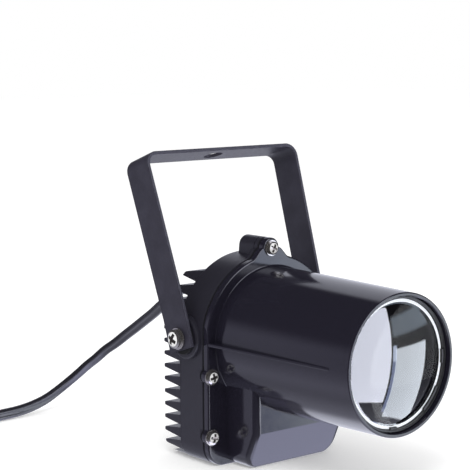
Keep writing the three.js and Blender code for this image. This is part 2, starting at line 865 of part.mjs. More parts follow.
// A can with a crimped groove near its foot
function can(name, piece) {
  const { x, y, wide, tall } = standing(name, piece);
  const radius = wide / 2;
  const groove = radius / 8;
  const profile = [
    point(0, 0),
    point(radius, 0),
    point(radius, 2 * groove),
    point(radius - groove, 3 * groove),
    point(radius, 4 * groove),
    point(radius, tall - groove),
    point(radius - groove, tall),
    point(0, tall),
  ];
  return new THREE.LatheGeometry(profile, facets.screw).rotateX(quarter).translate(x, y, boardTop);
}

// Supply terminal with two wire funnels
function terminal() {
  const { x, y, wide, tall } = standing("supplyBlock", supplyBlock);
  const { long } = supplyBlock;
  const top = boardTop + tall;
  const body = block([x - wide / 2, y - long / 2, boardTop], [x + wide / 2, y + long / 2, top]);
  const funnels = [-1, 1].map((side) =>
    rod("Z", wide / 8, top - tall / 2, top + overrun, [x + (side * wide) / 4, y, 0]),
  );
  return cut(solid(body), ...funnels);
}

// A round lead along a smooth curve through the given points
function lead(points, thick) {
  const path = new THREE.CatmullRomCurve3(points.map((p) => new THREE.Vector3(...p)));
  const section = new THREE.Shape(arc(0, 0, thick / 2, 0, 2 * Math.PI, 6).slice(1));
  return new THREE.ExtrudeGeometry(section, { steps: 3 * points.length, extrudePath: path });
}

// The supply lead goes round the lamp's pedestal, from the strain relief to the terminal
function supplyRoute() {
  const end = standing("supplyBlock", supplyBlock);
  const start = cavityRear - glandInner - supplyThick;
  const forward = (share) => start + (end.y - start) * share;
  const around = (turnShare, share) => {
    const turn = 2 * Math.PI * turnShare;
    return [-leadOrbit * Math.sin(turn), forward(share), axisHeight + leadOrbit * Math.cos(turn)];
  };
  const down = (dropShare, share) => [-leadOrbit, forward(share), axisHeight - leadOrbit * dropShare];
  const top = boardTop + end.tall;
  return [
    [0, cavityRear - glandInner - clearance, glandHeight],
    [0, start, glandHeight],
    ...aroundShares.map(([turnShare, share]) => around(turnShare, share)),
    ...downShares.map(([dropShare, share]) => down(dropShare, share)),
    [end.x - supplyThick / 2, end.y, top + 2 * supplyThick],
    [end.x, end.y, top + clearance],
  ];
}

// The lamp's leads rise from the board's rear edge to the star board's face
function ledRoute(side) {
  const { x, wide } = standing("core", core);
  const foot = x + side * (wide / 2 - leadThick);
  const y = boardRear - 2 * leadThick;
  const end = side * 2 * leadThick;
  return [
    [foot, y, boardTop + clearance],
    [foot, y, boardTop + 3 * leadThick],
    [(foot + end) / 2, starFront - leadThick, axisHeight / 2],
    [end, starFront - 2 * leadThick, axisHeight - starRadius - leadThick],
    [end, starFront - leadThick - clearance, axisHeight - starRadius + leadThick],
    [end, starFront - clearance, axisHeight - starRadius + 2 * leadThick],
  ];
}

// Strap that is bent into a U, drawn about the pivot with its arms along Z
function strapLine(offset) {
  const centreZ = strapRise - strapThick - strapBend;
  const lean = (centreZ - strapUpright) * Math.tan(armSplay);
  const centreX = strapInner + lean - strapBend / Math.cos(armSplay);
  return [
    point(strapInner + offset, -strapFoot),
    point(strapInner + offset, strapUpright - offset * Math.tan(armSplay / 2)),
    ...arc(centreX, centreZ, strapBend + offset, -armSplay, quarter, 2 * facets.corner),
  ];
}

function bracket() {
  const [inner, outer] = [strapLine(0), strapLine(strapThick)];
  const flip = (line) => line.map((p) => point(-p.x, p.y));
  const outline = [...outer, ...flip(outer).reverse(), ...flip(inner), ...inner.reverse()];
  const strap = prism("Y", outline, -strapWidth / 2, strapWidth / 2);
  const hole = rod("Z", hangHole / 2, strapRise - strapThick - overrun, strapRise + overrun, [0, 0, 0]);
  return cut(solid(strap), rod("X", m4.shank / 2 + clearance, -screwSeat, screwSeat, [0, 0, 0]), hole);
}

// A flat ring along X
function washer(radius, hole, low, high) {
  const ring = rod("X", radius, low, high, [0, 0, pivotHeight], facets.screw);
  const inner = rod("X", hole / 2 + clearance, low - overrun, high + overrun, [0, 0, pivotHeight]);
  return cut(solid(ring), inner);
}

// Strain relief: a neck through the rear wall, a collar on the boss, and a grooved boot
function gland() {
  const neck = rod("Y", glandNeck, cavityRear - glandInner, glandSeat + glandCollar, [0, 0, glandHeight]);
  const collar = rod("Y", glandCollarRadius, glandSeat, glandSeat + glandCollar, [0, 0, glandHeight]);
  const start = glandSeat + glandCollar / 2;
  const last = 3 * bootRings;
  const rings = Array.from({ length: last + 1 }, (_, i) => {
    const groove = i % 3 === 1 ? bootGroove : 0;
    const wide = bootRoot + ((bootEnd - bootRoot) * i) / last - groove;
    const y = start + ((bootEndY - start) * i) / last;
    return arc(0, 0, wide, 0, 2 * Math.PI, facets.screw)
      .slice(1)
      .map((p) => new THREE.Vector3(p.x, y, glandHeight + p.y * bootShare));
  });
  return join(neck, collar, loft(rings));
}

// A line that a flat flex follows, with the direction of its wide side set all along it
class FlexLine extends THREE.CatmullRomCurve3 {
  constructor(points, wideAt) {
    super(points, false, "centripetal");
    this.wideAt = wideAt;
  }

  computeFrenetFrames(steps) {
    const frames = { tangents: [], normals: [], binormals: [] };
    for (let i = 0; i <= steps; i++) {
      const tangent = this.getTangentAt(i / steps);
      const wide = this.wideAt(i / steps, tangent);
      wide.addScaledVector(tangent, -wide.dot(tangent)).normalize();
      frames.tangents.push(tangent);
      frames.normals.push(wide);
      frames.binormals.push(new THREE.Vector3().crossVectors(tangent, wide));
    }
    return frames;
  }
}

// Section of the flex, wide along its first axis, with six or eight corners
function flexSection(corners) {
  const [wide, thick] = [flexWide / 2, flexThick / 2];
  const shoulder = wide - thick / 2;
  const edge = corners === 8 ? thick * flexEdgeShare : 0;
  const half = (side) => [
    point(side * wide, -side * edge),
    ...(edge > 0 ? [point(side * wide, side * edge)] : []),
    point(side * shoulder, side * thick),
    point(-side * shoulder, side * thick),
  ];
  return [...half(1), ...half(-1)];
}

// The flex from the strain relief, down to the surface and along it to the coil
const coilEntry = new THREE.Vector3(
  coilX + flexWide,
  coilY - coilInner - coilTurnsIn * coilPitch,
  flexWide / 2 + floorGap,
);
const routePoints = [
  [0, bootEndY + clearance, glandHeight],
  [0, bootEndY + clearance + flexWide, glandHeight],
  [0, 50, 61.8],
  [0, 57, 58.9],
  [0, 63.6, 55.2],
  [0, 70.1, 50.6],
  [-0.4, 76.8, 46],
  [-1.2, 83.4, 41.4],
  [-2.4, 90, 36.8],
  [-4.2, 95.4, 32.4],
  [-6.6, 100.4, 28.1],
  [-9.2, 104.3, 24],
  [-12.6, 107.9, 20],
  [-16.2, 110.3, 16.2],
  [-20.6, 112, 12.6],
  [-25.6, 112.8, 9.4],
  [-31.8, 112.8, 6.4],
  [-39, 112.2, 4.4],
  [-48, 111.3, 3.2],
  [-58, 110.8, 2.8],
  [-68, coilEntry.y, coilEntry.z],
  [coilEntry.x + clearance, coilEntry.y, coilEntry.z],
];

function cordRun() {
  // the wide side lies level at the strain relief and stands upright at the coil
  const wideAt = (share, tangent) => {
    const level = new THREE.Vector3(tangent.y, -tangent.x, 0).normalize();
    const up = new THREE.Vector3().crossVectors(level, tangent);
    const turn = quarter * share ** flexTwistPower;
    return level.multiplyScalar(Math.cos(turn)).addScaledVector(up, Math.sin(turn));
  };
  const line = new FlexLine(routePoints.map((p) => new THREE.Vector3(...p)), wideAt);
  line.arcLengthDivisions = 40 * routePoints.length;
  const section = new THREE.Shape(flexSection(flexFacets.runSides));
  const geometry = new THREE.ExtrudeGeometry(section, { steps: flexFacets.run, extrudePath: line });
  return { geometry, length: line.getLength() };
}

// A place on the coil: in along the lower layer, up, and out along the upper one
function coilPlace(turns) {
  const climbEnd = coilTurnsIn + coilClimb;
  const inwards = coilPitch * Math.max(coilTurnsIn - turns, 0);
  const outwards = coilPitch * Math.max(turns - climbEnd, 0);
  const radius = coilInner + inwards + outwards;
  const angle = -quarter - 2 * Math.PI * turns;
  const climbed = THREE.MathUtils.smoothstep(turns, coilTurnsIn, climbEnd);
  const past = (turns + coilTurnsIn - coilClimb) % 1;
  const fromTie = Math.min(past, 1 - past) / tieShare;
  const over = fromTie < 1 ? Math.cos(quarter * fromTie) ** 2 : 0;
  return new THREE.Vector3(
    coilX + radius * Math.cos(angle),
    coilY + radius * Math.sin(angle),
    coilEntry.z + coilRise * climbed + (tieThick + clearance) * over,
  );
}

// The whole coil, with a straight end on each side, as one tube on edge
function cordCoil() {
  const last = coilTurnsIn + coilClimb + coilTurnsOut;
  const count = Math.round(last * flexFacets.turn);
  const turns = Array.from({ length: count + 1 }, (_, i) => coilPlace((last * i) / count));
  const top = turns[count];
  const drop = top.z - plugTall / 2 - floorGap;
  const tail = tailShares.map(
    (share) =>
      new THREE.Vector3(
        top.x + coilTail * share,
        top.y,
        top.z - drop * THREE.MathUtils.smoothstep(share, tailShares[0], tailShares[2]),
      ),
  );
  const places = [coilEntry, ...turns, ...tail];
  const up = new THREE.Vector3(0, 0, 1);
  const rings = places.map((place, i) => {
    const tangent = new THREE.Vector3();
    if (i < 2) tangent.set(-1, 0, 0);
    else if (i === places.length - 1) tangent.set(1, 0, 0);
    else tangent.subVectors(places[i + 1], places[i - 1]).normalize();
    const wide = up.clone().addScaledVector(tangent, -up.dot(tangent)).normalize();
    const thick = new THREE.Vector3().crossVectors(tangent, wide);
    const section = flexSection(flexFacets.coilSides);
    return section.map((p) => place.clone().addScaledVector(wide, p.x).addScaledVector(thick, p.y));
  });
  let length = 0;
  for (let i = 1; i < places.length; i++) length += places[i].distanceTo(places[i - 1]);
  return { geometry: loft(rings), length, gap: leastGap(rings), end: places.at(-1) };
}

// Least distance between turns, on points spread over the tube's sides
function leastGap(rings) {
  const parts = 4;
  const stations = [];
  for (let r = 0; r + 1 < rings.length; r++) {
    for (let s = 0; s < parts; s++) {
      const ring = rings[r].map((p, i) => p.clone().lerp(rings[r + 1][i], s / parts));
      const spread = ring.flatMap((p, i) => {
        const next = ring[(i + 1) % ring.length];
        return Array.from({ length: parts }, (_, k) => p.clone().lerp(next, k / parts));
      });
      stations.push(spread);
    }
  }
  let least = Infinity;
  const apart = (flexFacets.turn * parts) / 2;
  const near = 2 * flexWide;
  for (let a = 0; a < stations.length; a++) {
    for (let b = a + apart; b < stations.length; b++) {
      if (stations[a][0].distanceTo(stations[b][0]) > near + flexWide) continue;
      for (const p of stations[a]) {
        for (const q of stations[b]) least = Math.min(least, p.distanceTo(q));
      }
    }
  }
  return least;
}

// Band round the turns on the coil's far left side
function coilTie() {
  const outermost = coilInner + coilPitch * Math.max(coilTurnsIn, coilTurnsOut) - coilPitch / 4;
  const bow = (tieWidth / 2) ** 2 / (2 * coilInner);
  const near = -(coilInner - flexThick / 2 - bow - clearance);
  const far = -(outermost + flexThick / 2 + clearance);
  const top = floorGap + tieThick + 2 * clearance + coilRise + flexWide;
  const band = (out, corner) => {
    const [x0, x1] = [coilX + far - out, coilX + near + out];
    const [z0, z1] = [floorGap + tieThick - out, top + out];
    return [
      ...arc(x1 - corner, z0 + corner, corner, -quarter, 0, facets.corner),
      ...arc(x1 - corner, z1 - corner, corner, 0, quarter, facets.corner),
      ...arc(x0 + corner, z1 - corner, corner, quarter, 2 * quarter, facets.corner),
      ...arc(x0 + corner, z0 + corner, corner, 2 * quarter, 3 * quarter, facets.corner),
    ];
  };
  const ring = new THREE.Shape(band(tieThick, tieThick + clearance));
  ring.holes.push(new THREE.Path(band(0, clearance).reverse()));
  return prism("Y", ring, coilY - tieWidth / 2, coilY + tieWidth / 2);
}

// Moulded plug with two flat blades, lying beside the coil
function plugBody(start) {
  const grown = (share, out = 0) => ({
    wide: plugNeckWide + (plugWide - plugNeckWide) * share - 2 * out,
    tall: plugNeckTall + (plugTall - plugNeckTall) * share - 2 * out,
  });
  const [neck, slope, shoulder, full, edge] = plugStationShares;
  const stations = [
    { at: 0, ...grown(0) },
    { at: neck, ...grown(0) },
    { at: slope, ...grown(1 / 2) },
    { at: shoulder, ...grown(1, plugEdge / 2) },
    { at: full, ...grown(1) },
    { at: edge, ...grown(1) },
    { at: 1, ...grown(1, plugEdge) },
  ];
  const rings = stations.map(({ at, wide, tall }) =>
    Array.from({ length: facets.screw }, (_, k) => {
      const angle = (2 * Math.PI * k) / facets.screw;
      const [c, s] = [Math.cos(angle), Math.sin(angle)];
      return new THREE.Vector3(
        start.x + clearance + plugLong * at,
        start.y + (Math.sign(c) * Math.sqrt(Math.abs(c)) * wide) / 2,
        start.z + (Math.sign(s) * Math.sqrt(Math.abs(s)) * tall) / 2,
      );
    }),
  );
  return loft(rings);
}

function plugBlade(start, side) {
  const from = start.x + clearance + plugLong;
  const middle = start.z;
  const [half, end] = [bladeWide / 2, from + bladeLong];
  const outline = new THREE.Shape([
    point(from, middle - half),
    point(end - half / 2, middle - half),
    point(end, middle - half / 2),
    point(end, middle + half / 2),
    point(end - half / 2, middle + half),
    point(from, middle + half),
  ]);
  const hole = arc(end - bladeHole, middle, bladeHole / 2, 0, 2 * Math.PI, facets.inner).slice(1);
  outline.holes.push(new THREE.Path(hole.reverse()));
  const y = start.y + (side * bladeGap) / 2;
  return prism("Y", outline, y - bladeThick / 2, y + bladeThick / 2);
}

// Assembly

place("heatsink", drilledHeatsink(), finishes.castAluminium);
place("front_housing", frontHousing(), finishes.glossPlastic);
place("seam_gasket", gasket(), finishes.rubber);
place("lens", lens(), finishes.glass);
place("lens_retainer", retainer(), finishes.blackNylon);

const pad = rod("Y", pedestalRadius, starBack, pedestalFace, [0, 0, axisHeight]);
place("thermal_pad", pad, finishes.siliconePad);
place("led_star_board", starBoard(), finishes.whiteBoard);
place("led_emitter", emitter(), finishes.emitter);
place("collimator_holder", holder(), finishes.blackNylon);
place("collimator_lens", collimator(), finishes.acrylic);

place("driver_board", driverBoard(), finishes.circuit);
place("driver_transformer", transformer(), finishes.copperTape);
place("driver_capacitor_a", can("capA", capA), finishes.sleeveBlue);
place("driver_capacitor_b", can("capB", capB), finishes.blackNylon);
place("driver_choke", can("choke", { ...choke, ahead: chokeAhead }), finishes.ferrite);
place("terminal_block", terminal(), finishes.whiteBoard);
place("supply_lead", lead(supplyRoute(), supplyThick), finishes.flex);
place("led_lead_red", lead(ledRoute(1), leadThick), finishes.redLead);
place("led_lead_black", lead(ledRoute(-1), leadThick), finishes.blackLead);

for (const [name, [x, z]] of Object.entries(housingScrews)) {
  const mesh = place(`housing_screw_${name}`, screw(m3), finishes.nickel);
  mesh.rotation.x = quarter;
  mesh.position.set(x, flangeFront, z);
}

for (const [name, side] of [["left", -1], ["right", 1]]) {
  const low = side > 0 ? padFace : -padFace - frictionThick;
  const rubber = washer(frictionRadius, m4.shank, low, low + frictionThick);
  place(`friction_washer_${name}`, rubber, finishes.rubber);
  const seat = side > 0 ? washerSeat : -washerSeat - washerThick;
  const steel = washer(washerRadius, m4.shank, seat, seat + washerThick);
  place(`pivot_washer_${name}`, steel, finishes.nickel);
  const pivot = place(`pivot_screw_${name}`, screw(m4), finishes.nickel);
  pivot.rotation.y = side * quarter;
  pivot.position.set(side * screwSeat, 0, pivotHeight);
  const star = place(`star_screw_${name}`, screw(m25, facets.inner), finishes.nickel);
  star.rotation.x = quarter;
  star.position.set(side * starScrewReach, starFront, axisHeight);
  const post = place(`driver_screw_${name}`, screw(m25, facets.inner), finishes.nickel);
  post.position.set((side * postSpacing) / 2, postY, boardTop);
}

const tilt = new THREE.Group();
tilt.position.z = pivotHeight;
tilt.rotation.x = -leanBack;
light.add(tilt);
place("bracket", bracket(), finishes.strapSteel, tilt);

const run = cordRun();
const coil = cordCoil();
place("cord_gland", gland(), finishes.blackNylon);
place("cord_run", run.geometry, finishes.flex);
place("cord_coil", coil.geometry, finishes.flex);
place("cord_tie", coilTie(), finishes.blackNylon);
place("plug_body", plugBody(coil.end), finishes.flex);
place("plug_blade_left", plugBlade(coil.end, 1), finishes.brass);
place("plug_blade_right", plugBlade(coil.end, -1), finishes.brass);

const lengths = `${run.length.toFixed(0)} + ${coil.length.toFixed(0)} mm`;
console.log(`cord: ${lengths}, least gap in the coil ${coil.gap.toFixed(2)} mm`);

export default light;
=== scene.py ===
# %% [markdown]
# A small pinspot light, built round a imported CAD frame.
#
# The light is a finned casting with a moulded lens tube screwed to its front. A steel strap bent
# into a U carries it, and a flat mains flex leaves its back. The frame gives every size and place
# that the pieces share, so this script reads them from there and adds the finish: rounded edges,
# real glass, grain in the paint and the section of the flex.

import json
import math

import bmesh
import bpy
import numpy as np
from mathutils import Matrix, Vector


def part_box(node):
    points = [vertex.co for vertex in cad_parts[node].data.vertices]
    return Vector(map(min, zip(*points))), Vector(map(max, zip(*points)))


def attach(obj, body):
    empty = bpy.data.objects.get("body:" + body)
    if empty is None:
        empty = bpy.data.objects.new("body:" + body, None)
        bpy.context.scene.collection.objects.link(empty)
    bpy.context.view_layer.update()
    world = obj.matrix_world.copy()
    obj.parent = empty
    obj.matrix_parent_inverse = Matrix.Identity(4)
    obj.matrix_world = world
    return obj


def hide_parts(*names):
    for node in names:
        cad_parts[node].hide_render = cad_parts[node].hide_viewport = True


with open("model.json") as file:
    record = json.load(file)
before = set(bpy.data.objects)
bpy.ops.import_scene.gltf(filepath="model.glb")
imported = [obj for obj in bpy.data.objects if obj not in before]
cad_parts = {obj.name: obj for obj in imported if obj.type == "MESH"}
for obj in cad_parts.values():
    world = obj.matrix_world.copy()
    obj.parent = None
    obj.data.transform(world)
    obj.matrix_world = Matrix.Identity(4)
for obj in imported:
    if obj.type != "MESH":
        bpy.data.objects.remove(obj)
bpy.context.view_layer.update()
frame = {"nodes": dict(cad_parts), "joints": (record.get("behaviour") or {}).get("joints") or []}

# %% [markdown]
# Blender works in metres here, and the small sizes are easier to read in millimetres, so each
# one is a number of millimetres times MM. What the frame holds is measured from its nodes.

# %% Sizes that the frame holds
MM = 0.001
housing_low, housing_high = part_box("front_housing")
casting_low, casting_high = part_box("heatsink")
lens_low, lens_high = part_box("lens")
PIVOT = Vector(frame["joints"][0]["pos_m"])
AXIS_Z = (lens_low.z + lens_high.z) / 2
RIM_Y = housing_low.y
FLANGE_THICK = 3 * MM
FLANGE_BACK = housing_high.y
FLANGE_FRONT = FLANGE_BACK - FLANGE_THICK
TUBE_LENGTH = FLANGE_FRONT - RIM_Y
CAST_FRONT = casting_low.y
FIN_DEPTH = 10.3 * MM
FIN_END = casting_high.y
CAST_REAR = FIN_END - FIN_DEPTH
print(f"beam axis at {AXIS_Z / MM:.1f} mm, flange front at {FLANGE_FRONT / MM:.1f} mm")

# %% [markdown]
# The camera comes first, because the room that the cord may take depends on what it sees. It is
# an ordinary perspective camera with a long lens. Its place and its turn were fitted to the
# photograph, which shows the light from its left front and a little above.

# %% Camera
CAMERA_PLACE = Vector((-404.3, -489.4, 170.9)) * MM
CAMERA_AZIMUTH = math.radians(-38.99)
CAMERA_ELEVATION = math.radians(7.08)
CAMERA_ROLL = math.radians(-0.36)
FOCAL_PIXELS = 1514.95
PHOTO_WIDTH = 470
SENSOR = 36


def make_camera():
    data = bpy.data.cameras.new("camera")
    data.sensor_width = SENSOR
    data.lens = FOCAL_PIXELS / PHOTO_WIDTH * SENSOR
    data.clip_start = 0.01
    data.clip_end = 30
    camera = bpy.data.objects.new("camera", data)
    bpy.context.scene.collection.objects.link(camera)
    sin_a, cos_a = math.sin(CAMERA_AZIMUTH), math.cos(CAMERA_AZIMUTH)
    sin_e, cos_e = math.sin(CAMERA_ELEVATION), math.cos(CAMERA_ELEVATION)
    back = Vector((sin_a * cos_e, -cos_a * cos_e, sin_e))
    level = Vector((cos_a, sin_a, 0))
    upright = back.cross(level)
    right = level * math.cos(CAMERA_ROLL) + upright * math.sin(CAMERA_ROLL)
    up = back.cross(right)
    camera.matrix_world = Matrix.Translation(CAMERA_PLACE) @ Matrix((right, up, back)).transposed().to_4x4()
    bpy.context.scene.camera = camera
    return camera


camera = make_camera()
print("lens in mm:", round(camera.data.lens, 1))

# %% [markdown]
# Most pieces are made by one of three helpers. A loft puts a skin over a row of equal rings, a
# revolve turns a profile about an axis, and a boolean joins or cuts closed meshes. Each helper
# leaves smooth faces with a sharp edge wherever two faces meet at more than a set angle.

# %% Mesh helpers
SHARP = math.radians(32)
CREASE_SHARP = math.radians(23)
MERGE = 0.0005 * MM
RIGHT_ANGLE = math.pi / 2
FULL_TURN = 2 * math.pi


def shade(mesh, angle=SHARP):
    for face in mesh.polygons:
        face.use_smooth = True
    mesh.set_sharp_from_angle(angle=angle)


def piece_from(name, vertices, faces, angle=SHARP):
    """A closed mesh object whose doubles are merged and whose faces point outwards."""
    mesh = bpy.data.meshes.new(name)
    mesh.from_pydata([tuple(v) for v in vertices], [], faces)
    bm = bmesh.new()
    bm.from_mesh(mesh)
    bmesh.ops.remove_doubles(bm, verts=bm.verts, dist=MERGE)
    loose = [edge for edge in bm.edges if not edge.link_faces]
    bmesh.ops.delete(bm, geom=loose, context="EDGES")
    bmesh.ops.recalc_face_normals(bm, faces=bm.faces)
    bm.to_mesh(mesh)
    bm.free()
    shade(mesh, angle)
    obj = bpy.data.objects.new(name, mesh)
    bpy.context.scene.collection.objects.link(obj)
    return obj


def loft(name, rings, caps=True, closed=False, angle=SHARP, last=None):
    """A skin over rings of equally many points. A closed loft joins its last ring to its first.

    The last cap is one face, unless lists of its ring's points are given, one for each face.
    """
    count = len(rings[0])
    vertices = [p for ring in rings for p in ring]
    faces = []
    spans = len(rings) if closed else len(rings) - 1
    for r in range(spans):
        here, there = r * count, (r + 1) % len(rings) * count
        for i in range(count):
            j = (i + 1) % count
            faces.append((here + i, here + j, there + j, there + i))
    if caps and not closed:
        faces.append(tuple(range(count)))
        start = len(vertices) - count
        faces.extend(tuple(start + i for i in cap) for cap in last or [range(count)])
    return piece_from(name, vertices, faces, angle)


def revolve(name, profile, segments, centre=(0, AXIS_Z), axis="Y", angle=SHARP):
    """Turns a profile of (radius, place) about an axis. The profile is a closed line of points."""

    def place(radius, along, turn):
        a, b = radius * math.cos(turn), radius * math.sin(turn)
        if axis == "Y":
            return Vector((centre[0] + a, along, centre[1] + b))
        if axis == "X":
            return Vector((along, centre[0] + a, centre[1] + b))
        return Vector((centre[0] + a, centre[1] + b, along))

    turns = [FULL_TURN * i / segments for i in range(segments)]
    rings = [[place(r, along, turn) for r, along in profile] for turn in turns]
    return loft(name, rings, closed=True, angle=angle)


def arc(x, y, radius, start, end, steps):
    """Points of an arc about (x, y), with its angles in radians."""
    turns = [start + (end - start) * i / steps for i in range(steps + 1)]
    return [(x + radius * math.cos(t), y + radius * math.sin(t)) for t in turns]


def settle(obj, angle=SHARP):
    """Applies an object's modifiers to its mesh."""
    bpy.context.view_layer.update()
    evaluated = obj.evaluated_get(bpy.context.evaluated_depsgraph_get())
    mesh = bpy.data.meshes.new_from_object(evaluated)
    obj.modifiers.clear()
    old, obj.data = obj.data, mesh
    mesh.name = obj.name
    bpy.data.meshes.remove(old)
    if angle is not None:
        shade(mesh, angle)
    return obj


def boolean(target, tools, operation):
    """Joins closed meshes to the target or cuts them out of it, and removes them."""
    for tool in tools:
        modifier = target.modifiers.new("boolean", "BOOLEAN")
        modifier.operation = operation
        modifier.solver = "EXACT"
        modifier.object = tool
        settle(target)
        bpy.data.objects.remove(tool)
    return target


# %% [markdown]
# Materials are small node trees on the Principled shader. All of them read Object coordinates,
# and every piece sits at the origin, so one grain size holds for all of them. A helper makes the
# shader, and two more add a fine bump and a mottled roughness, which is what keeps a plain black
# surface from looking like a flat fill.

# %% Material helpers


def new_material(name, color, roughness, metallic=0, **sockets):
    material = bpy.data.materials.new(name)
    material.use_nodes = True
    shader = material.node_tree.nodes["Principled BSDF"]
    shader.inputs["Base Color"].default_value = (*color, 1)
    shader.inputs["Roughness"].default_value = roughness
    shader.inputs["Metallic"].default_value = metallic
    for socket, value in sockets.items():
        shader.inputs[socket.replace("_", " ")].default_value = value
    return material


def noise(material, size, detail=3, stretch=(1, 1, 1)):
    """Noise on Object coordinates whose blotches are about the given size across."""
    nodes, links = material.node_tree.nodes, material.node_tree.links
    where = nodes.new("ShaderNodeTexCoord")
    mapping = nodes.new("ShaderNodeMapping")
    mapping.inputs["Scale"].default_value = stretch
    texture = nodes.new("ShaderNodeTexNoise")
    texture.inputs["Scale"].default_value = 1 / size
    texture.inputs["Detail"].default_value = detail
    links.new(where.outputs["Object"], mapping.inputs["Vector"])
    links.new(mapping.outputs["Vector"], texture.inputs["Vector"])
    return texture.outputs["Fac"]


def add_bump(material, height, distance, strength=1.0):
    """Bump from a height socket, with its depth in metres. A second bump adds to the first."""
    nodes, links = material.node_tree.nodes, material.node_tree.links
    shader = nodes["Principled BSDF"]
    bump = nodes.new("ShaderNodeBump")
    bump.inputs["Strength"].default_value = strength
    bump.inputs["Distance"].default_value = distance
    links.new(height, bump.inputs["Height"])
    before = [link.from_socket for link in shader.inputs["Normal"].links]
    if before:
        links.new(before[0], bump.inputs["Normal"])
    links.new(bump.outputs["Normal"], shader.inputs["Normal"])


def spread(material, value, low, high, socket):
    """Maps a 0 to 1 value to a range and feeds it to a socket of the shader."""
    nodes, links = material.node_tree.nodes, material.node_tree.links
    ranged = nodes.new("ShaderNodeMapRange")
    ranged.inputs["To Min"].default_value = low
    ranged.inputs["To Max"].default_value = high
    links.new(value, ranged.inputs["Value"])
    links.new(ranged.outputs["Result"], nodes["Principled BSDF"].inputs[socket])


def tint(material, value, dark, light, start=0.35, end=0.65):
    """Feeds the base colour from a ramp between two colours."""
    nodes, links = material.node_tree.nodes, material.node_tree.links
    ramp = nodes.new("ShaderNodeValToRGB")
    ramp.color_ramp.elements[0].color = (*dark, 1)
    ramp.color_ramp.elements[1].color = (*light, 1)
    ramp.color_ramp.elements[0].position = start
    ramp.color_ramp.elements[1].position = end
    links.new(value, ramp.inputs["Fac"])
    links.new(ramp.outputs["Color"], nodes["Principled BSDF"].inputs["Base Color"])


def dress(obj, material, body, slot, *nodes):
    """Gives a finished piece its material, its body and the CAD nodes it stands for. The slot is not used."""
    if material and not obj.data.materials:
        obj.data.materials.append(material)
    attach(obj, body)
    if nodes:
        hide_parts(*nodes)
    return obj


# %% [markdown]
# The flex is a flat twin cord: two round cores side by side under one sheath, with a shallow
# groove between them. Its wide side lies level where it leaves the light and turns on edge
# before the coil, and both show as a change of width along the cord. A curve with a round bevel
# can't do that, so the sheath is lofted: one section is carried along the route, and at each
# step it is turned about the route by a chosen angle.

# %% The flex's route
FLEX_WIDE = 5.2 * MM
FLEX_THICK = 2.7 * MM
FIRST_TWIST = math.radians(42)
TWIST_SHARES = ((0, 0.2), (0.45, 0.85))
GAP = 0.3 * MM
FLOOR_GAP = 0.05 * MM
gland_low, gland_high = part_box("cord_gland")
GLAND_Z = (gland_low.z + gland_high.z) / 2
CORD_EXIT = Vector((0, gland_high.y + GAP, GLAND_Z))

COIL_X, COIL_Y = -84 * MM, 142.2 * MM
COIL_PITCH = 3.9 * MM
COIL_INNER = 23.8 * MM
COIL_RISE = 5.9 * MM
TURNS_IN = 2
TURNS_OUT = 2.25
TURNS_CLIMB = 0.25
TIE_THICK = 0.9 * MM
TIE_SHARE = 0.14
PLUG_TALL = 14 * MM
TAIL_LENGTH = 13 * MM
TAIL_SHARES = (0.1, 0.35, 0.6, 1)
COIL_ENTRY = Vector((COIL_X + FLEX_WIDE, COIL_Y - COIL_INNER - TURNS_IN * COIL_PITCH, FLEX_WIDE / 2 + FLOOR_GAP))

ROUTE = [
    CORD_EXIT,
    CORD_EXIT + Vector((0, FLEX_WIDE, 0)),
    Vector((0, 50, 61.8)) * MM,
    Vector((0, 57, 58)) * MM,
    Vector((0, 63.6, 53.7)) * MM,
    Vector((0, 70.1, 49.3)) * MM,
    Vector((-0.4, 76.8, 45)) * MM,
    Vector((-1.2, 83.4, 40.6)) * MM,
    Vector((-2.4, 90, 36.1)) * MM,
    Vector((-4.2, 95.4, 31.9)) * MM,
    Vector((-6.6, 100.4, 28.1)) * MM,
    Vector((-9.2, 104.3, 24)) * MM,
    Vector((-12.6, 107.9, 20)) * MM,
    Vector((-16.2, 110.3, 16.2)) * MM,
    Vector((-20.6, 112, 12.6)) * MM,
    Vector((-25.6, 112.8, 9.4)) * MM,
    Vector((-31.8, 112.8, 6.4)) * MM,
    Vector((-39, 112.2, 4.4)) * MM,
    Vector((-48, 111.3, 3.2)) * MM,
    Vector((-58, 110.8, 2.8)) * MM,
    Vector((-68 * MM, COIL_ENTRY.y, COIL_ENTRY.z)),
    COIL_ENTRY,
]


def catmull_rom(points, steps):
    """A smooth curve through the points, with steps spaced by the square root of the distance."""
    ends = [2 * points[0] - points[1], *points, 2 * points[-1] - points[-2]]
    line = []
    for k in range(1, len(ends) - 2):
        p = ends[k - 1 : k + 3]
        t = [0.0]
        for a, b in zip(p, p[1:]):
            t.append(t[-1] + math.sqrt((b - a).length))
        for s in range(steps):
            u = t[1] + (t[2] - t[1]) * s / steps
            a1 = p[0].lerp(p[1], (u - t[0]) / (t[1] - t[0]))
            a2 = p[1].lerp(p[2], (u - t[1]) / (t[2] - t[1]))
            a3 = p[2].lerp(p[3], (u - t[2]) / (t[3] - t[2]))
            b1 = a1.lerp(a2, (u - t[0]) / (t[2] - t[0]))
            b2 = a2.lerp(a3, (u - t[1]) / (t[3] - t[1]))
            line.append(b1.lerp(b2, (u - t[1]) / (t[2] - t[1])))
    return [*line, points[-1].copy()]


def smooth_step(value, low, high):
    t = min(max((value - low) / (high - low), 0), 1)
    return t * t * (3 - 2 * t)


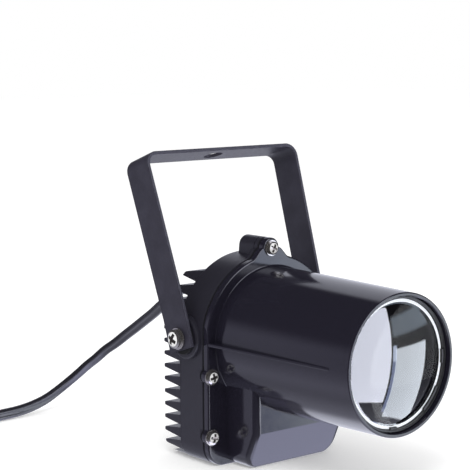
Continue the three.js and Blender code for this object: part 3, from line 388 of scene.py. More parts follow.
def coil_place(turns):
    """A place on the coil: in along the lower layer, up, and out along the upper one."""
    climb_end = TURNS_IN + TURNS_CLIMB
    radius = COIL_INNER + COIL_PITCH * (max(TURNS_IN - turns, 0) + max(turns - climb_end, 0))
    angle = -RIGHT_ANGLE - FULL_TURN * turns
    climbed = smooth_step(turns, TURNS_IN, climb_end)
    past = (turns + TURNS_IN - TURNS_CLIMB) % 1
    from_tie = min(past, 1 - past) / TIE_SHARE
    over = math.cos(RIGHT_ANGLE * from_tie) ** 2 if from_tie < 1 else 0
    return Vector((
        COIL_X + radius * math.cos(angle),
        COIL_Y + radius * math.sin(angle),
        COIL_ENTRY.z + COIL_RISE * climbed + (TIE_THICK + GAP) * over,
    ))


def coil_line(steps_a_turn):
    """The coil's centreline from its entry to the plug, with a straight tail."""
    last = TURNS_IN + TURNS_CLIMB + TURNS_OUT
    count = round(last * steps_a_turn)
    line = [coil_place(last * i / count) for i in range(count + 1)]
    top = line[-1]
    drop = top.z - PLUG_TALL / 2 - FLOOR_GAP
    steps = 12
    for i in range(1, steps + 1):
        share = i / steps
        fall = smooth_step(share, TAIL_SHARES[0], TAIL_SHARES[2])
        line.append(Vector((top.x + TAIL_LENGTH * share, top.y, top.z - drop * fall)))
    return line


def line_length(line):
    return sum((b - a).length for a, b in zip(line, line[1:]))


run_line = catmull_rom(ROUTE, 6)
coil_points = coil_line(48)
flex_line = [*run_line, *coil_points]
PLUG_START = coil_points[-1]
print(f"flex: {line_length(run_line) / MM:.0f} mm free and {line_length(coil_points) / MM:.0f} mm coiled")

# %% [markdown]
# The section has a lobe round each core and a groove in the middle of both flat sides. Along the
# free run its wide side starts level and ends upright, and the turn grows slowly at first,
# because a flex that is pulled sideways twists most where it comes to rest.

# %% The flex
LOBE_STEPS = 7
GROOVE_DEPTH = 0.28 * MM


def flex_section():
    """Points (across, up) of the sheath's section, starting at the middle of its lower side."""
    radius = FLEX_THICK / 2
    middle = FLEX_WIDE / 2 - radius
    right = arc(middle, 0, radius, math.radians(-108), math.radians(108), 2 * LOBE_STEPS)
    left = [(-x, -y) for x, y in right]
    return [(0, GROOVE_DEPTH - radius), *right, (0, radius - GROOVE_DEPTH), *left]


def flex_rings(line, run_count):
    """The section at every point of the line, turned from level to upright along the free run."""
    run_length = line_length(line[:run_count])
    rings, gone = [], 0.0
    for i, place in enumerate(line):
        ahead, behind = line[min(i + 1, len(line) - 1)], line[max(i - 1, 0)]
        tangent = (ahead - behind).normalized()
        if i:
            gone += (place - line[i - 1]).length
        share = min(gone / run_length, 1)
        first, last = (smooth_step(share, *span) for span in TWIST_SHARES)
        turn = -FIRST_TWIST * first - (RIGHT_ANGLE - FIRST_TWIST) * last
        level = Vector((tangent.y, -tangent.x, 0)).normalized()
        up = level.cross(tangent)
        wide = level * math.cos(turn) + up * math.sin(turn)
        thick = tangent.cross(wide)
        rings.append([place + wide * x + thick * y for x, y in flex_section()])
    return rings


def make_flex_finish():
    material = new_material("flex_sheath", (0.0145, 0.0138, 0.02), 0.24, Coat_Weight=0.3)
    add_bump(material, noise(material, 0.9 * MM), 0.02 * MM, 0.5)
    spread(material, noise(material, 6 * MM), 0.26, 0.4, "Roughness")
    return material


flex_finish = make_flex_finish()
flex = loft("mains_flex", flex_rings(flex_line, len(run_line)), angle=math.radians(50))
dress(flex, flex_finish, "head", "flex", "cord_run", "cord_coil")
print("flex faces:", len(flex.data.polygons))


# %% [markdown]
# The casting, the gasket and the flange share one outline: a round crown on flat sides, a flat
# base with round corners, an ear round each side screw and a lug at the top that flares into the
# crown. Every ray from the beam's axis leaves that outline once, so it can be sampled by angle.
# Rings sampled at the same angles always match up, also when the outline is drawn in, and that
# is what lets a loft round the edges of such an uneven shape.

# %% The shared outline
CROWN = 34.5 * MM
HALF_WIDTH = CROWN - 0.8 * MM
BASE_CORNER = 8 * MM
EAR = 3.1 * MM
SCREW_X = HALF_WIDTH - 1.6 * MM
LUG_TOP = AXIS_Z + 37.4 * MM
LUG = 4.3 * MM
LUG_FLARE = 10.3 * MM
SIDE_SCREWS = [(x, AXIS_Z - drop * MM) for x in (-SCREW_X, SCREW_X) for drop in (12.8, 37.9)]


def bell(inset):
    """The outline without its ears and its lug, as points (x, z)."""
    radius, side, corner = CROWN - inset, HALF_WIDTH - inset, BASE_CORNER - inset
    start = math.acos(side / radius)
    crown = arc(0, AXIS_Z, radius, start, math.pi - start, 120)
    left = arc(corner - side, inset + corner, corner, math.pi, 1.5 * math.pi, 16)
    right = arc(side - corner, inset + corner, corner, -RIGHT_ANGLE, 0, 16)
    return [*crown, *left, *right]


def lug(inset, flare=LUG_FLARE):
    """The top screw's lug, with sides that curve out into the crown, or run down with no flare."""
    foot = math.sqrt(CROWN**2 - flare**2) - inset
    radius = LUG - inset
    sides = []
    for t in (i / 12 for i in range(13)):
        x = radius + t * (max(flare, radius) - radius)
        z = LUG_TOP + (AXIS_Z + foot - LUG_TOP) * smooth_step(t, 0, 1)
        sides.append((x, z))
    below = AXIS_Z + foot / 2
    left = [(-x, z) for x, z in sides[1:]]
    tail = [(-sides[-1][0], below), (sides[-1][0], below)]
    return [*arc(0, LUG_TOP, radius, 0, math.pi, 24), *left, *tail, *reversed(sides[1:])]


def outline_turns():
    """Angles at which the outline is sampled, closer together round the ears and the lug."""
    turns = list(np.linspace(-math.pi, math.pi, 600, endpoint=False))
    turns += list(np.linspace(-0.3, 0.3, 120))
    for x, z in SIDE_SCREWS:
        middle = math.atan2(x, z - AXIS_Z)
        turns += list(np.linspace(middle - 0.14, middle + 0.14, 60))
    return np.array(sorted(turns))


TURNS = outline_turns()


def reach(points):
    """How far a closed line of points reaches from the beam's axis at each sampled angle."""
    a = np.array(points) - (0, AXIS_Z)
    edge = np.roll(a, -1, axis=0) - a
    away = np.stack([np.sin(TURNS), np.cos(TURNS)], axis=1)[:, None, :]
    across = away[..., 0] * edge[:, 1] - away[..., 1] * edge[:, 0]
    across = np.where(np.abs(across) < 1e-12, 1e-12, across)
    out = (a[:, 0] * edge[:, 1] - a[:, 1] * edge[:, 0]) / across
    along = (a[:, 0] * away[..., 1] - a[:, 1] * away[..., 0]) / across
    hit = (along > -1e-6) & (along < 1 + 1e-6) & (out > 0)
    return np.where(hit, out, 0).max(axis=1)


def outline(inset):
    """The whole shared outline, drawn in by the inset, as points (x, z)."""
    ears = [reach(arc(x, z, EAR - inset, 0, FULL_TURN, 48)) for x, z in SIDE_SCREWS]
    far = np.max([reach(bell(inset)), reach(lug(inset)), *ears], axis=0)
    return list(zip(far * np.sin(TURNS), AXIS_Z + far * np.cos(TURNS)))


print("points on the outline:", len(TURNS))

# %% [markdown]
# A slab is a loft along Y between two copies of such a ring. Where an edge is rounded it gets a
# few more rings that draw in as they near the face. The last one lies flat on the face, close
# inside the rounding, so that the smooth shading of the edge can't spread over the face.

# %% Slabs with rounded edges


def rounded_edge(radius, steps=5):
    """Pairs of inset and distance from the face that round an edge and end on the flat face."""
    turns = [RIGHT_ANGLE * i / steps for i in range(steps + 1)]
    pairs = [(radius * (1 - math.cos(t)), radius * (1 - math.sin(t))) for t in turns]
    return [*pairs, (1.3 * radius, 0)]


def slab(name, ring, low, high, low_round=0, high_round=0):
    """A loft along Y of ring(inset), with either face's edge rounded."""
    front = [(i, low + d) for i, d in reversed(rounded_edge(low_round))] if low_round else [(0, low)]
    back = [(i, high - d) for i, d in rounded_edge(high_round)] if high_round else [(0, high)]
    return loft(name, [[Vector((x, y, z)) for x, z in ring(i)] for i, y in [*front, *back]])


def cylinder(name, axis, radius, low, high, centre, segments=48, low_round=0, high_round=0):
    """A cylinder along an axis through a centre (the two other coordinates), with rounded edges."""
    front = [(radius - i, low + d) for i, d in reversed(rounded_edge(low_round))] if low_round else [(radius, low)]
    back = [(radius - i, high - d) for i, d in rounded_edge(high_round)] if high_round else [(radius, high)]
    return revolve(name, [(0, low), *front, *back, (0, high)], segments, centre, axis)


def weigh_normals(obj):
    """Lets large flat faces keep their shading where small rounded ones meet them."""
    weigh = obj.modifiers.new("weigh", "WEIGHTED_NORMAL")
    weigh.mode = "FACE_AREA"
    weigh.weight = 100
    weigh.keep_sharp = True
    return settle(obj, None)


# %% [markdown]
# The front housing is one moulding: a flange, a slightly tapered tube for the lens with a rib on
# each side, and a box below the tube that makes room for the driver. Its parts are simple shapes
# by themselves, each with its own rounded edges, so they are modelled apart and joined. The bore
# and the hollow of the box are cut last, as the core of a mould would form them.

# %% The front housing's outside
FLANGE_ROUND = 0.6 * MM
TUBE_RIM = 28 * MM
TUBE_ROOT = 29.8 * MM
ROOT_FILLET = 0.6 * MM
RIM_ROUND = 0.45 * MM
RIB_THICK = 1.4 * MM
RIB_Z = AXIS_Z + 0.6 * MM
RIB_REACH = 66 * MM
RIB_ROUND = 0.45 * MM
BOX_HALF = 24.3 * MM
BOX_FRONT = FLANGE_FRONT - 18.9 * MM
BOX_FOOT = FLANGE_FRONT - 11.6 * MM
BOX_CREASE = 15.9 * MM
BOX_SIDE = 6.5 * MM
BOX_NOSE = 2.6 * MM
BOX_BASE_NOSE = 0.8 * MM
BOX_STEPS = 6
WALL = 2 * MM


def make_flange():
    return slab("flange", outline, FLANGE_FRONT, FLANGE_BACK, FLANGE_ROUND, 0.2 * MM)


def make_tube():
    """The tube as a solid, with a fillet where it leaves the flange and a rounded rim."""
    fillet = arc(TUBE_ROOT + ROOT_FILLET, FLANGE_FRONT - ROOT_FILLET, ROOT_FILLET, RIGHT_ANGLE, math.pi, 8)
    rim = arc(TUBE_RIM - RIM_ROUND, RIM_Y + RIM_ROUND, RIM_ROUND, 0, -RIGHT_ANGLE, 5)
    inside = FLANGE_FRONT + WALL / 2
    profile = [(0, inside), (TUBE_ROOT + ROOT_FILLET, inside), *fillet, *rim]
    return revolve("tube", [*profile, (TUBE_RIM - 2 * RIM_ROUND, RIM_Y), (0, RIM_Y)], 192)


def make_rib(side):
    """A side rib whose outer edge is rounded and runs from the flange's edge into the tube."""

    def ring(y, inner, outer):
        low, high = RIB_Z - RIB_THICK / 2, RIB_Z + RIB_THICK / 2
        out = outer - RIB_ROUND
        lower = arc(out, low + RIB_ROUND, RIB_ROUND, -RIGHT_ANGLE, 0, 5)
        upper = arc(out, high - RIB_ROUND, RIB_ROUND, 0, RIGHT_ANGLE, 5)
        return [Vector((side * x, y, z)) for x, z in [(inner, low), *lower, *upper, (inner, high)]]

    taper = (TUBE_ROOT - TUBE_RIM) / TUBE_LENGTH
    end = TUBE_ROOT - taper * RIB_REACH
    start_y, end_y = FLANGE_FRONT + FLANGE_ROUND, FLANGE_FRONT - RIB_REACH
    rings = [
        ring(start_y, TUBE_ROOT - WALL / 2, HALF_WIDTH - FLANGE_ROUND / 4),
        ring(end_y, end - WALL / 2, end + RIB_THICK / 8),
    ]
    return loft("rib", rings)


def bevel(obj, width, segments=3, angle=math.radians(25)):
    modifier = obj.modifiers.new("bevel", "BEVEL")
    modifier.width = width
    modifier.segments = segments
    modifier.limit_method = "ANGLE"
    modifier.angle_limit = angle
    modifier.use_clamp_overlap = True
    return settle(obj)


def box_front(z, wall):
    """How far forward the box's front reaches at a height: an upright face above a slanting one."""
    slope = (BOX_FOOT - BOX_FRONT) / BOX_CREASE
    slant = BOX_FRONT + slope * (BOX_CREASE - z) + wall * math.sqrt(1 + slope**2)
    return max(BOX_FRONT + wall, slant)


def box_outline(wall):
    """The box's front outline as (x, z, inward x, inward z, radius of the front edge there)."""
    slope = (BOX_FOOT - BOX_FRONT) / BOX_CREASE
    crease = BOX_CREASE + wall * (math.sqrt(1 + slope**2) - 1) / slope
    side, low = BOX_HALF - wall, BOX_SIDE - wall
    nose, base = (max(r - wall, BOX_NOSE / BOX_STEPS) for r in (BOX_NOSE, BOX_BASE_NOSE))
    right = [(side, AXIS_Z, -1, 0, nose), (side, crease, -1, 0, nose)]
    for i in range(2 * BOX_STEPS + 1):
        turn = RIGHT_ANGLE * i / (2 * BOX_STEPS)
        out_x, out_z = math.cos(turn), -math.sin(turn)
        radius = nose + (base - nose) * smooth_step(i / (2 * BOX_STEPS), 0, 1)
        right.append((side - low + low * out_x, BOX_SIDE + low * out_z, -out_x, -out_z, radius))
    left = [(-x, z, -in_x, in_z, radius) for x, z, in_x, in_z, radius in reversed(right)]
    return [*right, *left]


def make_box(wall, back):
    """The driver's box: its outline runs forward and draws in along a rounded front edge."""
    line = box_outline(wall)
    rings = [[Vector((x, back, z)) for x, z, *_ in line]]
    for step in range(BOX_STEPS + 1):
        turn = RIGHT_ANGLE * step / BOX_STEPS
        ring = []
        for x, z, in_x, in_z, radius in line:
            inset = radius * (1 - math.cos(turn))
            high = z + in_z * inset
            y = box_front(high, wall) + radius * (1 - math.sin(turn))
            ring.append(Vector((x + in_x * inset, y, high)))
        rings.append(ring)
    count = len(line)
    upper = [0, 1, count - 2, count - 1]
    return loft("driver_box", rings, last=[upper, range(1, count - 1)])


housing = make_flange()
boolean(housing, [make_tube(), make_box(0, FLANGE_FRONT + WALL / 2), make_rib(-1), make_rib(1)], "UNION")
print("housing outside:", len(housing.data.polygons), "faces")

# %% The front housing's bore and hollow
LENS_RADIUS = lens_high.x
LENS_FRONT = RIM_Y + 3.4 * MM
LENS_BACK = LENS_FRONT + 2.6 * MM
LEDGE = 1.6 * MM
RIM_WALL = 1.5 * MM
PLAY = 0.3 * MM


def make_bore():
    """The bore's steps, from the flange's back to the seat of the lens and the open mouth."""
    behind = FLANGE_BACK + WALL
    narrow = LENS_RADIUS - 0.8 * MM
    mouth = TUBE_RIM - RIM_WALL
    profile = [
        (0, behind),
        (TUBE_ROOT - WALL, behind),
        (TUBE_ROOT - WALL, FLANGE_FRONT),
        (TUBE_RIM - WALL, LENS_BACK + 2 * LEDGE),
        (TUBE_RIM - WALL, LENS_BACK + LEDGE),
        (narrow, LENS_BACK + LEDGE),
        (narrow, LENS_BACK),
        (LENS_RADIUS + PLAY, LENS_BACK),
        (LENS_RADIUS + PLAY, LENS_FRONT),
        (mouth, LENS_FRONT),
        (mouth, RIM_Y + 0.25 * MM),
        (mouth + 0.25 * MM, RIM_Y),
        (mouth + 0.25 * MM, RIM_Y - WALL),
        (0, RIM_Y - WALL),
    ]
    return revolve("bore", profile, 192)


hollow = make_box(WALL, FLANGE_BACK + WALL)
boolean(hollow, [make_tube()], "DIFFERENCE")
boolean(housing, [hollow, make_bore()], "DIFFERENCE")
shade(housing.data, CREASE_SHARP)
weigh_normals(housing)
print("front housing:", len(housing.data.polygons), "faces")

# %% [markdown]
# The plastic is a glossy black with a violet tint. What shows on it is mostly what it mirrors,
# so its colour stays very dark and its gloss high. A moulded surface is never quite flat, and a
# bump of long, shallow waves lets the reflections swim a little. Fine dust in the roughness
# breaks up the highlights.

# %% Glossy moulded plastic


def make_gloss_plastic():
    material = new_material("gloss_plastic", (0.0115, 0.0105, 0.0175), 0.11, IOR=1.52)
    add_bump(material, noise(material, 9 * MM, 1), 0.02 * MM, 0.35)
    add_bump(material, noise(material, 0.35 * MM, 2), 0.004 * MM, 0.3)
    spread(material, noise(material, 3 * MM, 5), 0.075, 0.16, "Roughness")
    return material


gloss_plastic = make_gloss_plastic()
housing.name = "front_shell"
dress(housing, gloss_plastic, "head", "gloss_plastic", "front_housing")

# %% [markdown]
# The rear casting is a deep cup with the same outline. A stubby boss for the top screw runs back
# along its crown, a round pad on each side carries the bracket, and a boss at the back takes the
# flex. Inside it has the pedestal that draws heat from the lamp.

# %% The rear casting's body
CAST_WALL = 2.6 * MM
REAR_WALL = 4 * MM
CAST_INSIDE = CAST_REAR - REAR_WALL
LIP = 2.4 * MM
LIP_ROUND = 0.5 * MM
BOSS_LENGTH = 12.6 * MM
BOSS_ROUND = 1.1 * MM
SEAM_ROUND = 0.2 * MM
EAR_FADE = 1.6 * MM
EAR_STEPS = 48
PAD = 9 * MM
PAD_FACE = HALF_WIDTH + 2 * MM
PAD_ROUND = 1 * MM
REAR_ROUND = 1.2 * MM
GLAND_BOSS = 7 * MM
GLAND_SEAT = FIN_END - 0.7 * MM
GLAND_NECK = 3.6 * MM
PEDESTAL_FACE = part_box("thermal_pad")[1].y
STAR_SCREW_X = 10.4 * MM


def plain_lug(inset):
    return lug(inset, LUG)


def outer_ring(y, shapes):
    """The ring at one depth that runs round the outside of all the shapes."""
    far = np.max([reach(shape) for shape in shapes], axis=0)
    return [Vector((x, y, z)) for x, z in zip(far * np.sin(TURNS), AXIS_Z + far * np.cos(TURNS))]


def make_shell():
    """The casting's outside: its outline changes as the lug's lip, the ears and the boss end."""
    depth = CAST_REAR - CAST_FRONT
    lip = [(LIP - d, 0, lug(i)) for i, d in rounded_edge(LIP_ROUND)[:-1]]
    boss = [(BOSS_LENGTH - d, 0, plain_lug(i)) for i, d in rounded_edge(BOSS_ROUND)[:-1]]
    stations = [(0, SEAM_ROUND, lug(SEAM_ROUND)), (SEAM_ROUND, 0, lug(0)), (EAR_FADE, 0, lug(0)), *lip]
    stations += [(LIP, 0, plain_lug(0)), *boss, (BOSS_LENGTH, 0, None)]
    stations += [(depth - d, i, None) for i, d in rounded_edge(REAR_ROUND)]
    rings = []
    for d, inset, knob in stations:
        shapes = [bell(inset)] if knob is None else [bell(inset), knob]
        if d <= EAR_FADE:
            size = EAR * (1 - d / (2 * EAR_FADE)) - inset
            ears = [arc(x, z, size, 0, FULL_TURN, EAR_STEPS) for x, z in SIDE_SCREWS]
            rings.append(outer_ring(CAST_FRONT + d, [*shapes, *ears]))
        if d >= EAR_FADE:
            rings.append(outer_ring(CAST_FRONT + d, shapes))
    return loft("casting", rings)


def make_pad(side):
    """A round pad for the bracket, cut straight where the casting's rear edge begins to round."""
    rings = []
    for inset, x in [(0, HALF_WIDTH - MM), *[(i, PAD_FACE - d) for i, d in rounded_edge(PAD_ROUND)]]:
        rear = CAST_REAR - REAR_ROUND - inset
        ring = arc(0, PIVOT.z, PAD - inset, 0, FULL_TURN, 96)[1:]
        rings.append([Vector((side * x, min(y, rear), z)) for y, z in ring])
    return loft("pad", rings)


def make_casting():
    body = boolean(make_shell(), [make_pad(side) for side in (-1, 1)], "UNION")
    inside = slab("cavity", lambda inset: bell(CAST_WALL + inset), CAST_FRONT - WALL, CAST_INSIDE)
    boolean(body, [inside], "DIFFERENCE")
    posts = [cylinder("pedestal", "Y", 8.8 * MM, PEDESTAL_FACE, CAST_REAR - WALL, (0, AXIS_Z))]
    for side in (-1, 1):
        place = (side * STAR_SCREW_X, AXIS_Z)
        posts.append(cylinder("post", "Y", 2.6 * MM, PEDESTAL_FACE, CAST_REAR - WALL, place))
        ends = sorted((side * (HALF_WIDTH - MM), side * (HALF_WIDTH - 8 * MM)))
        posts.append(cylinder("pivot_boss", "X", 4.6 * MM, *ends, (0, PIVOT.z)))
    return boolean(body, posts, "UNION")


casting = make_casting()
print("casting:", len(casting.data.polygons), "faces")

# %% [markdown]
# The fins are one wedge repeated up the casting's back, which is a job for Geometry Nodes. The
# tree sweeps a trapezoid along a straight line for one fin and rounds its corners, then copies
# it to the points of an upright line. Its count, pitch and sizes are inputs of the modifier, so
# the rows can be tuned without touching the tree.

# %% Helper: a mesh from a node tree


def tree_inputs(tree, **sockets):
    """Adds named inputs to a tree and gives back the group's input node."""
    kinds = {int: "NodeSocketInt", float: "NodeSocketFloat", Vector: "NodeSocketVector"}
    for name, value in sockets.items():
        kind = kinds.get(type(value), "NodeSocketObject")
        tree.interface.new_socket(name.replace("_", " "), in_out="INPUT", socket_type=kind)
    tree.interface.new_socket("Geometry", in_out="OUTPUT", socket_type="NodeSocketGeometry")
    return tree.nodes.new("NodeGroupInput")


def grown(name, tree, base, material, **values):
    """A plain mesh object made by a tree on a base mesh, with the tree's inputs set by name."""
    seed_object = bpy.data.objects.new(name + "_points", base)
    bpy.context.scene.collection.objects.link(seed_object)
    modifier = seed_object.modifiers.new("tree", "NODES")
    modifier.node_group = tree
    for socket in tree.interface.items_tree:
        key = socket.name.replace(" ", "_")
        if socket.in_out == "INPUT" and key in values:
            modifier[socket.identifier] = values[key]
    bpy.context.view_layer.update()
    evaluated = seed_object.evaluated_get(bpy.context.evaluated_depsgraph_get())
    mesh = bpy.data.meshes.new_from_object(evaluated)
    mesh.name = name
    seed_object.modifiers.remove(modifier)
    bpy.data.objects.remove(seed_object)
    shade(mesh)
    if not mesh.materials:
        mesh.materials.append(material)
    obj = bpy.data.objects.new(name, mesh)
    bpy.context.scene.collection.objects.link(obj)
    return obj


def close_tree(tree, socket, material):
    """Ends a tree in Realize Instances and Set Material."""
    realize = tree.nodes.new("GeometryNodeRealizeInstances")
    paint = tree.nodes.new("GeometryNodeSetMaterial")
    paint.inputs["Material"].default_value = material
    end = tree.nodes.new("NodeGroupOutput")
    tree.links.new(socket, realize.inputs["Geometry"])
    tree.links.new(realize.outputs["Geometry"], paint.inputs["Geometry"])
    tree.links.new(paint.outputs["Geometry"], end.inputs["Geometry"])


# %% Satin black paint on the casting


def make_cast_paint():
    material = new_material("cast_paint", (0.019, 0.018, 0.027), 0.36, IOR=1.5)
    add_bump(material, noise(material, 0.5 * MM, 3), 0.03 * MM, 0.35)
    add_bump(material, noise(material, 5 * MM, 2), 0.06 * MM, 0.3)
    spread(material, noise(material, 2 * MM, 4), 0.3, 0.46, "Roughness")
    return material


cast_paint = make_cast_paint()

# %% The fins
FIN_PITCH = 5.42 * MM
FIN_FIRST = 0.3 * MM
FIN_ROOT = 4.6 * MM
FIN_TIP = 1.5 * MM
FIN_INSET = 0.3 * MM
FIN_SUNK = 2 * MM
FIN_ROUND = 0.55 * MM


def make_fin_tree():
    tree = bpy.data.node_groups.new("fins", "GeometryNodeTree")
    start = tree_inputs(tree, Count=1, First=Vector(), Step=Vector(), Root=1.0, Tip=1.0, Depth=1.0, Round=1.0)
    nodes, links = tree.nodes, tree.links
    wedge = nodes.new("GeometryNodeCurvePrimitiveQuadrilateral")
    wedge.mode = "TRAPEZOID"
    wedge.inputs["Offset"].default_value = 0
    soften = nodes.new("GeometryNodeFilletCurve")
    soften.mode = "POLY"
    soften.inputs["Count"].default_value = 4
    line = nodes.new("GeometryNodeCurvePrimitiveLine")
    line.inputs["Start"].default_value = (-CROWN, 0, 0)
    line.inputs["End"].default_value = (CROWN, 0, 0)
    level = nodes.new("GeometryNodeSetCurveNormal")
    level.mode = "Z_UP"
    sweep = nodes.new("GeometryNodeCurveToMesh")
    sweep.inputs["Fill Caps"].default_value = True
    rows = nodes.new("GeometryNodeMeshLine")
    copy = nodes.new("GeometryNodeInstanceOnPoints")
    copy.inputs["Rotation"].default_value = (RIGHT_ANGLE, 0, 0)
    links.new(start.outputs["Root"], wedge.inputs["Bottom Width"])
    links.new(start.outputs["Tip"], wedge.inputs["Top Width"])
    links.new(start.outputs["Depth"], wedge.inputs["Height"])
    links.new(wedge.outputs["Curve"], soften.inputs["Curve"])
    links.new(start.outputs["Round"], soften.inputs["Radius"])
    links.new(line.outputs["Curve"], level.inputs["Curve"])
    links.new(level.outputs["Curve"], sweep.inputs["Curve"])
    links.new(soften.outputs["Curve"], sweep.inputs["Profile Curve"])
    links.new(start.outputs["Count"], rows.inputs["Count"])
    links.new(start.outputs["First"], rows.inputs["Start Location"])
    links.new(start.outputs["Step"], rows.inputs["Offset"])
    links.new(rows.outputs["Mesh"], copy.inputs["Points"])
    links.new(sweep.outputs["Mesh"], copy.inputs["Instance"])
    close_tree(tree, copy.outputs["Instances"], cast_paint)
    return tree


def make_fins():
    depth = FIN_DEPTH + FIN_SUNK
    count = int((AXIS_Z + CROWN - FIN_ROOT - FIN_FIRST) / FIN_PITCH) + 1
    fins = grown(
        "fins",
        make_fin_tree(),
        bpy.data.meshes.new("fin_rows"),
        cast_paint,
        Count=count,
        First=Vector((0, FIN_END - depth / 2, FIN_FIRST)),
        Step=Vector((0, 0, FIN_PITCH)),
        Root=FIN_ROOT,
        Tip=FIN_TIP,
        Depth=depth,
        Round=FIN_ROUND,
    )
    edge = slab("fin_edge", lambda inset: bell(FIN_INSET + inset), CAST_REAR - REAR_WALL, FIN_END + WALL)
    boolean(fins, [edge], "INTERSECT")
    well = cylinder("gland_well", "Y", GLAND_BOSS, GLAND_SEAT, FIN_END + WALL, (0, GLAND_Z))
    boolean(fins, [well], "DIFFERENCE")
    print("fins:", count)
    return fins


boss = cylinder("gland_boss", "Y", GLAND_BOSS, CAST_REAR - WALL, GLAND_SEAT, (0, GLAND_Z), 64, 0, 0.4 * MM)
neck_hole = cylinder("neck_hole", "Y", GLAND_NECK + PLAY, CAST_INSIDE - WALL, FIN_END + WALL, (0, GLAND_Z))
boolean(casting, [make_fins(), boss], "UNION")
boolean(casting, [neck_hole], "DIFFERENCE")
weigh_normals(casting)
casting.name = "rear_casting"
casting.data.materials.clear()
dress(casting, cast_paint, "head", "cast_aluminium", "heatsink")
print("rear casting:", len(casting.data.polygons), "faces")
# %% [markdown]
# A soft rubber gasket fills the seam between the casting and the flange. It sits a little inside
# the outline, so that the seam shows as two fine lines with a dark joint between them.

# %% The gasket
GASKET_INSET = 0.4 * MM
GASKET_WIDTH = 2.2 * MM


def make_rubber():
    material = new_material("rubber", (0.009, 0.009, 0.0095), 0.7)
    add_bump(material, noise(material, 0.4 * MM), 0.03 * MM, 0.5)
    return material


rubber = make_rubber()
gasket = slab("gasket", lambda inset: outline(GASKET_INSET + inset), FLANGE_BACK, CAST_FRONT)
inner = slab("gasket_hole", lambda inset: bell(GASKET_INSET + GASKET_WIDTH), FLANGE_BACK - WALL, CAST_FRONT + WALL)
boolean(gasket, [inner], "DIFFERENCE")
gasket.name = "gasket"
dress(gasket, rubber, "head", "rubber", "seam_gasket")
print("gasket:", len(gasket.data.polygons), "faces")

# %% [markdown]
# The lens is a thick glass disc with a dome on each side. Both domes are parts of spheres, so
# each profile is an arc worked out from the dome's width and rise. Outside the front dome runs a
# narrow flat edge that was ground and never polished. It scatters light and shows as a white
# ring, so those faces get a frosted finish of their own, and a painted glow that makes the ring
# brighter than its lighting would.

# %% The lens
LENS_BEVEL = 1.3 * MM
# Strength of the painted glow on the ground ring.
PAINTED_GROUND_GLOW = 0.35
FRONT_BULGE = 3.2 * MM
BACK_BULGE = 1.2 * MM


def dome(radius, bulge, rim, direction, steps=24):
    """A spherical cap's profile from its rim to the axis, as points (radius, y)."""
    sphere = (radius**2 + bulge**2) / (2 * bulge)
    far = math.asin(radius / sphere)
    turns = [far * (1 - i / steps) for i in range(steps + 1)]
    return [(sphere * math.sin(t), rim + direction * (sphere * math.cos(t) - sphere + bulge)) for t in turns]


def make_glass():
    """Clear glass for the rear, and coated glass for the front."""
    clear = {"IOR": 1.5, "Transmission_Weight": 1}
    coat = {"Coat_Weight": 1, "Coat_IOR": 1.9, "Coat_Roughness": 0}
    glass = new_material("clear_glass", (0.94, 0.97, 1), 0, **clear)
    coated = new_material("coated_glass", (0.94, 0.97, 1), 0, **clear, **coat)
    return glass, coated


def make_ground_glass():
    material = new_material("ground_glass", (0.8, 0.83, 0.87), 0.55)
    shader = material.node_tree.nodes["Principled BSDF"]
    # Painted light: the ground ring glows a little, so it reads whiter than its lighting makes it.
    shader.inputs["Emission Color"].default_value = (0.9, 0.95, 1, 1)
    shader.inputs["Emission Strength"].default_value = PAINTED_GROUND_GLOW
    add_bump(material, noise(material, 0.12 * MM, 2), 0.02 * MM, 0.8)
    spread(material, noise(material, 2 * MM), 0.45, 0.7, "Roughness")
    return material


def make_lens():
    inside = LENS_RADIUS - LENS_BEVEL
    front = dome(inside, FRONT_BULGE, LENS_FRONT, -1)
    back = dome(inside, BACK_BULGE, LENS_BACK, 1)
    nick = 0.15 * MM
    edge = [(LENS_RADIUS - nick, LENS_BACK), (LENS_RADIUS, LENS_BACK - nick)]
    edge += [(LENS_RADIUS, LENS_FRONT + nick), (LENS_RADIUS - nick, LENS_FRONT)]
    lens = revolve("lens_glass", [*reversed(back), *edge, *front], 160)
    edge_paint = new_material("lens_edge_paint", (0.012, 0.012, 0.013), 0.5)
    for material in (*make_glass(), make_ground_glass(), edge_paint):
        lens.data.materials.append(material)
    for face in lens.data.polygons:
        far = math.hypot(face.center.x, face.center.z - AXIS_Z)
        if face.center.y < LENS_FRONT + nick:
            face.material_index = 2 if far > inside - nick else 1
        elif far > LENS_RADIUS - nick:
            face.material_index = 3
    return lens


lens = make_lens()
dress(lens, None, "head", "lens_glass", "lens")
print("lens edge in mm:", round((LENS_BACK - LENS_FRONT) / MM, 2))

# %% [markdown]
# A thin black ring is pressed into the tube's mouth. Its tabs lap the edge of the glass and hide
# the ground ring behind them, which is why the white ring shows in arcs.

# %% The lens retainer
RING_OUT = TUBE_RIM - RIM_WALL - PLAY
RING_IN = LENS_RADIUS + PLAY / 2
RING_BACK = LENS_FRONT - PLAY / 2
RING_THICK = 1.4 * MM
TAB_THICK = 1 * MM
TAB_REACH = 0.9 * MM
TABS = {0: 13, -41: 26, -94: 8, 180: 13}


def make_retainer():
    nick = 0.12 * MM
    front = RING_BACK - RING_THICK
    profile = [(RING_IN, RING_BACK), (RING_OUT, RING_BACK), (RING_OUT, front + nick), (RING_OUT - nick, front)]
    profile += [(RING_IN + nick, front), (RING_IN, front + nick)]
    ring = revolve("retainer", profile, 160)
    tabs = []
    for at, span in TABS.items():
        start, end = math.radians(at - span / 2), math.radians(at + span / 2)
        steps = max(6, span // 2)
        plan = arc(0, AXIS_Z, (RING_IN + RING_OUT) / 2, start, end, steps)
        plan += arc(0, AXIS_Z, LENS_RADIUS - TAB_REACH, end, start, steps)
        tab = loft("tab", [[Vector((x, y, z)) for x, z in plan] for y in (RING_BACK - TAB_THICK, RING_BACK)])
        tabs.append(bevel(tab, 0.1 * MM, 2, math.radians(50)))
    return boolean(ring, tabs, "UNION")


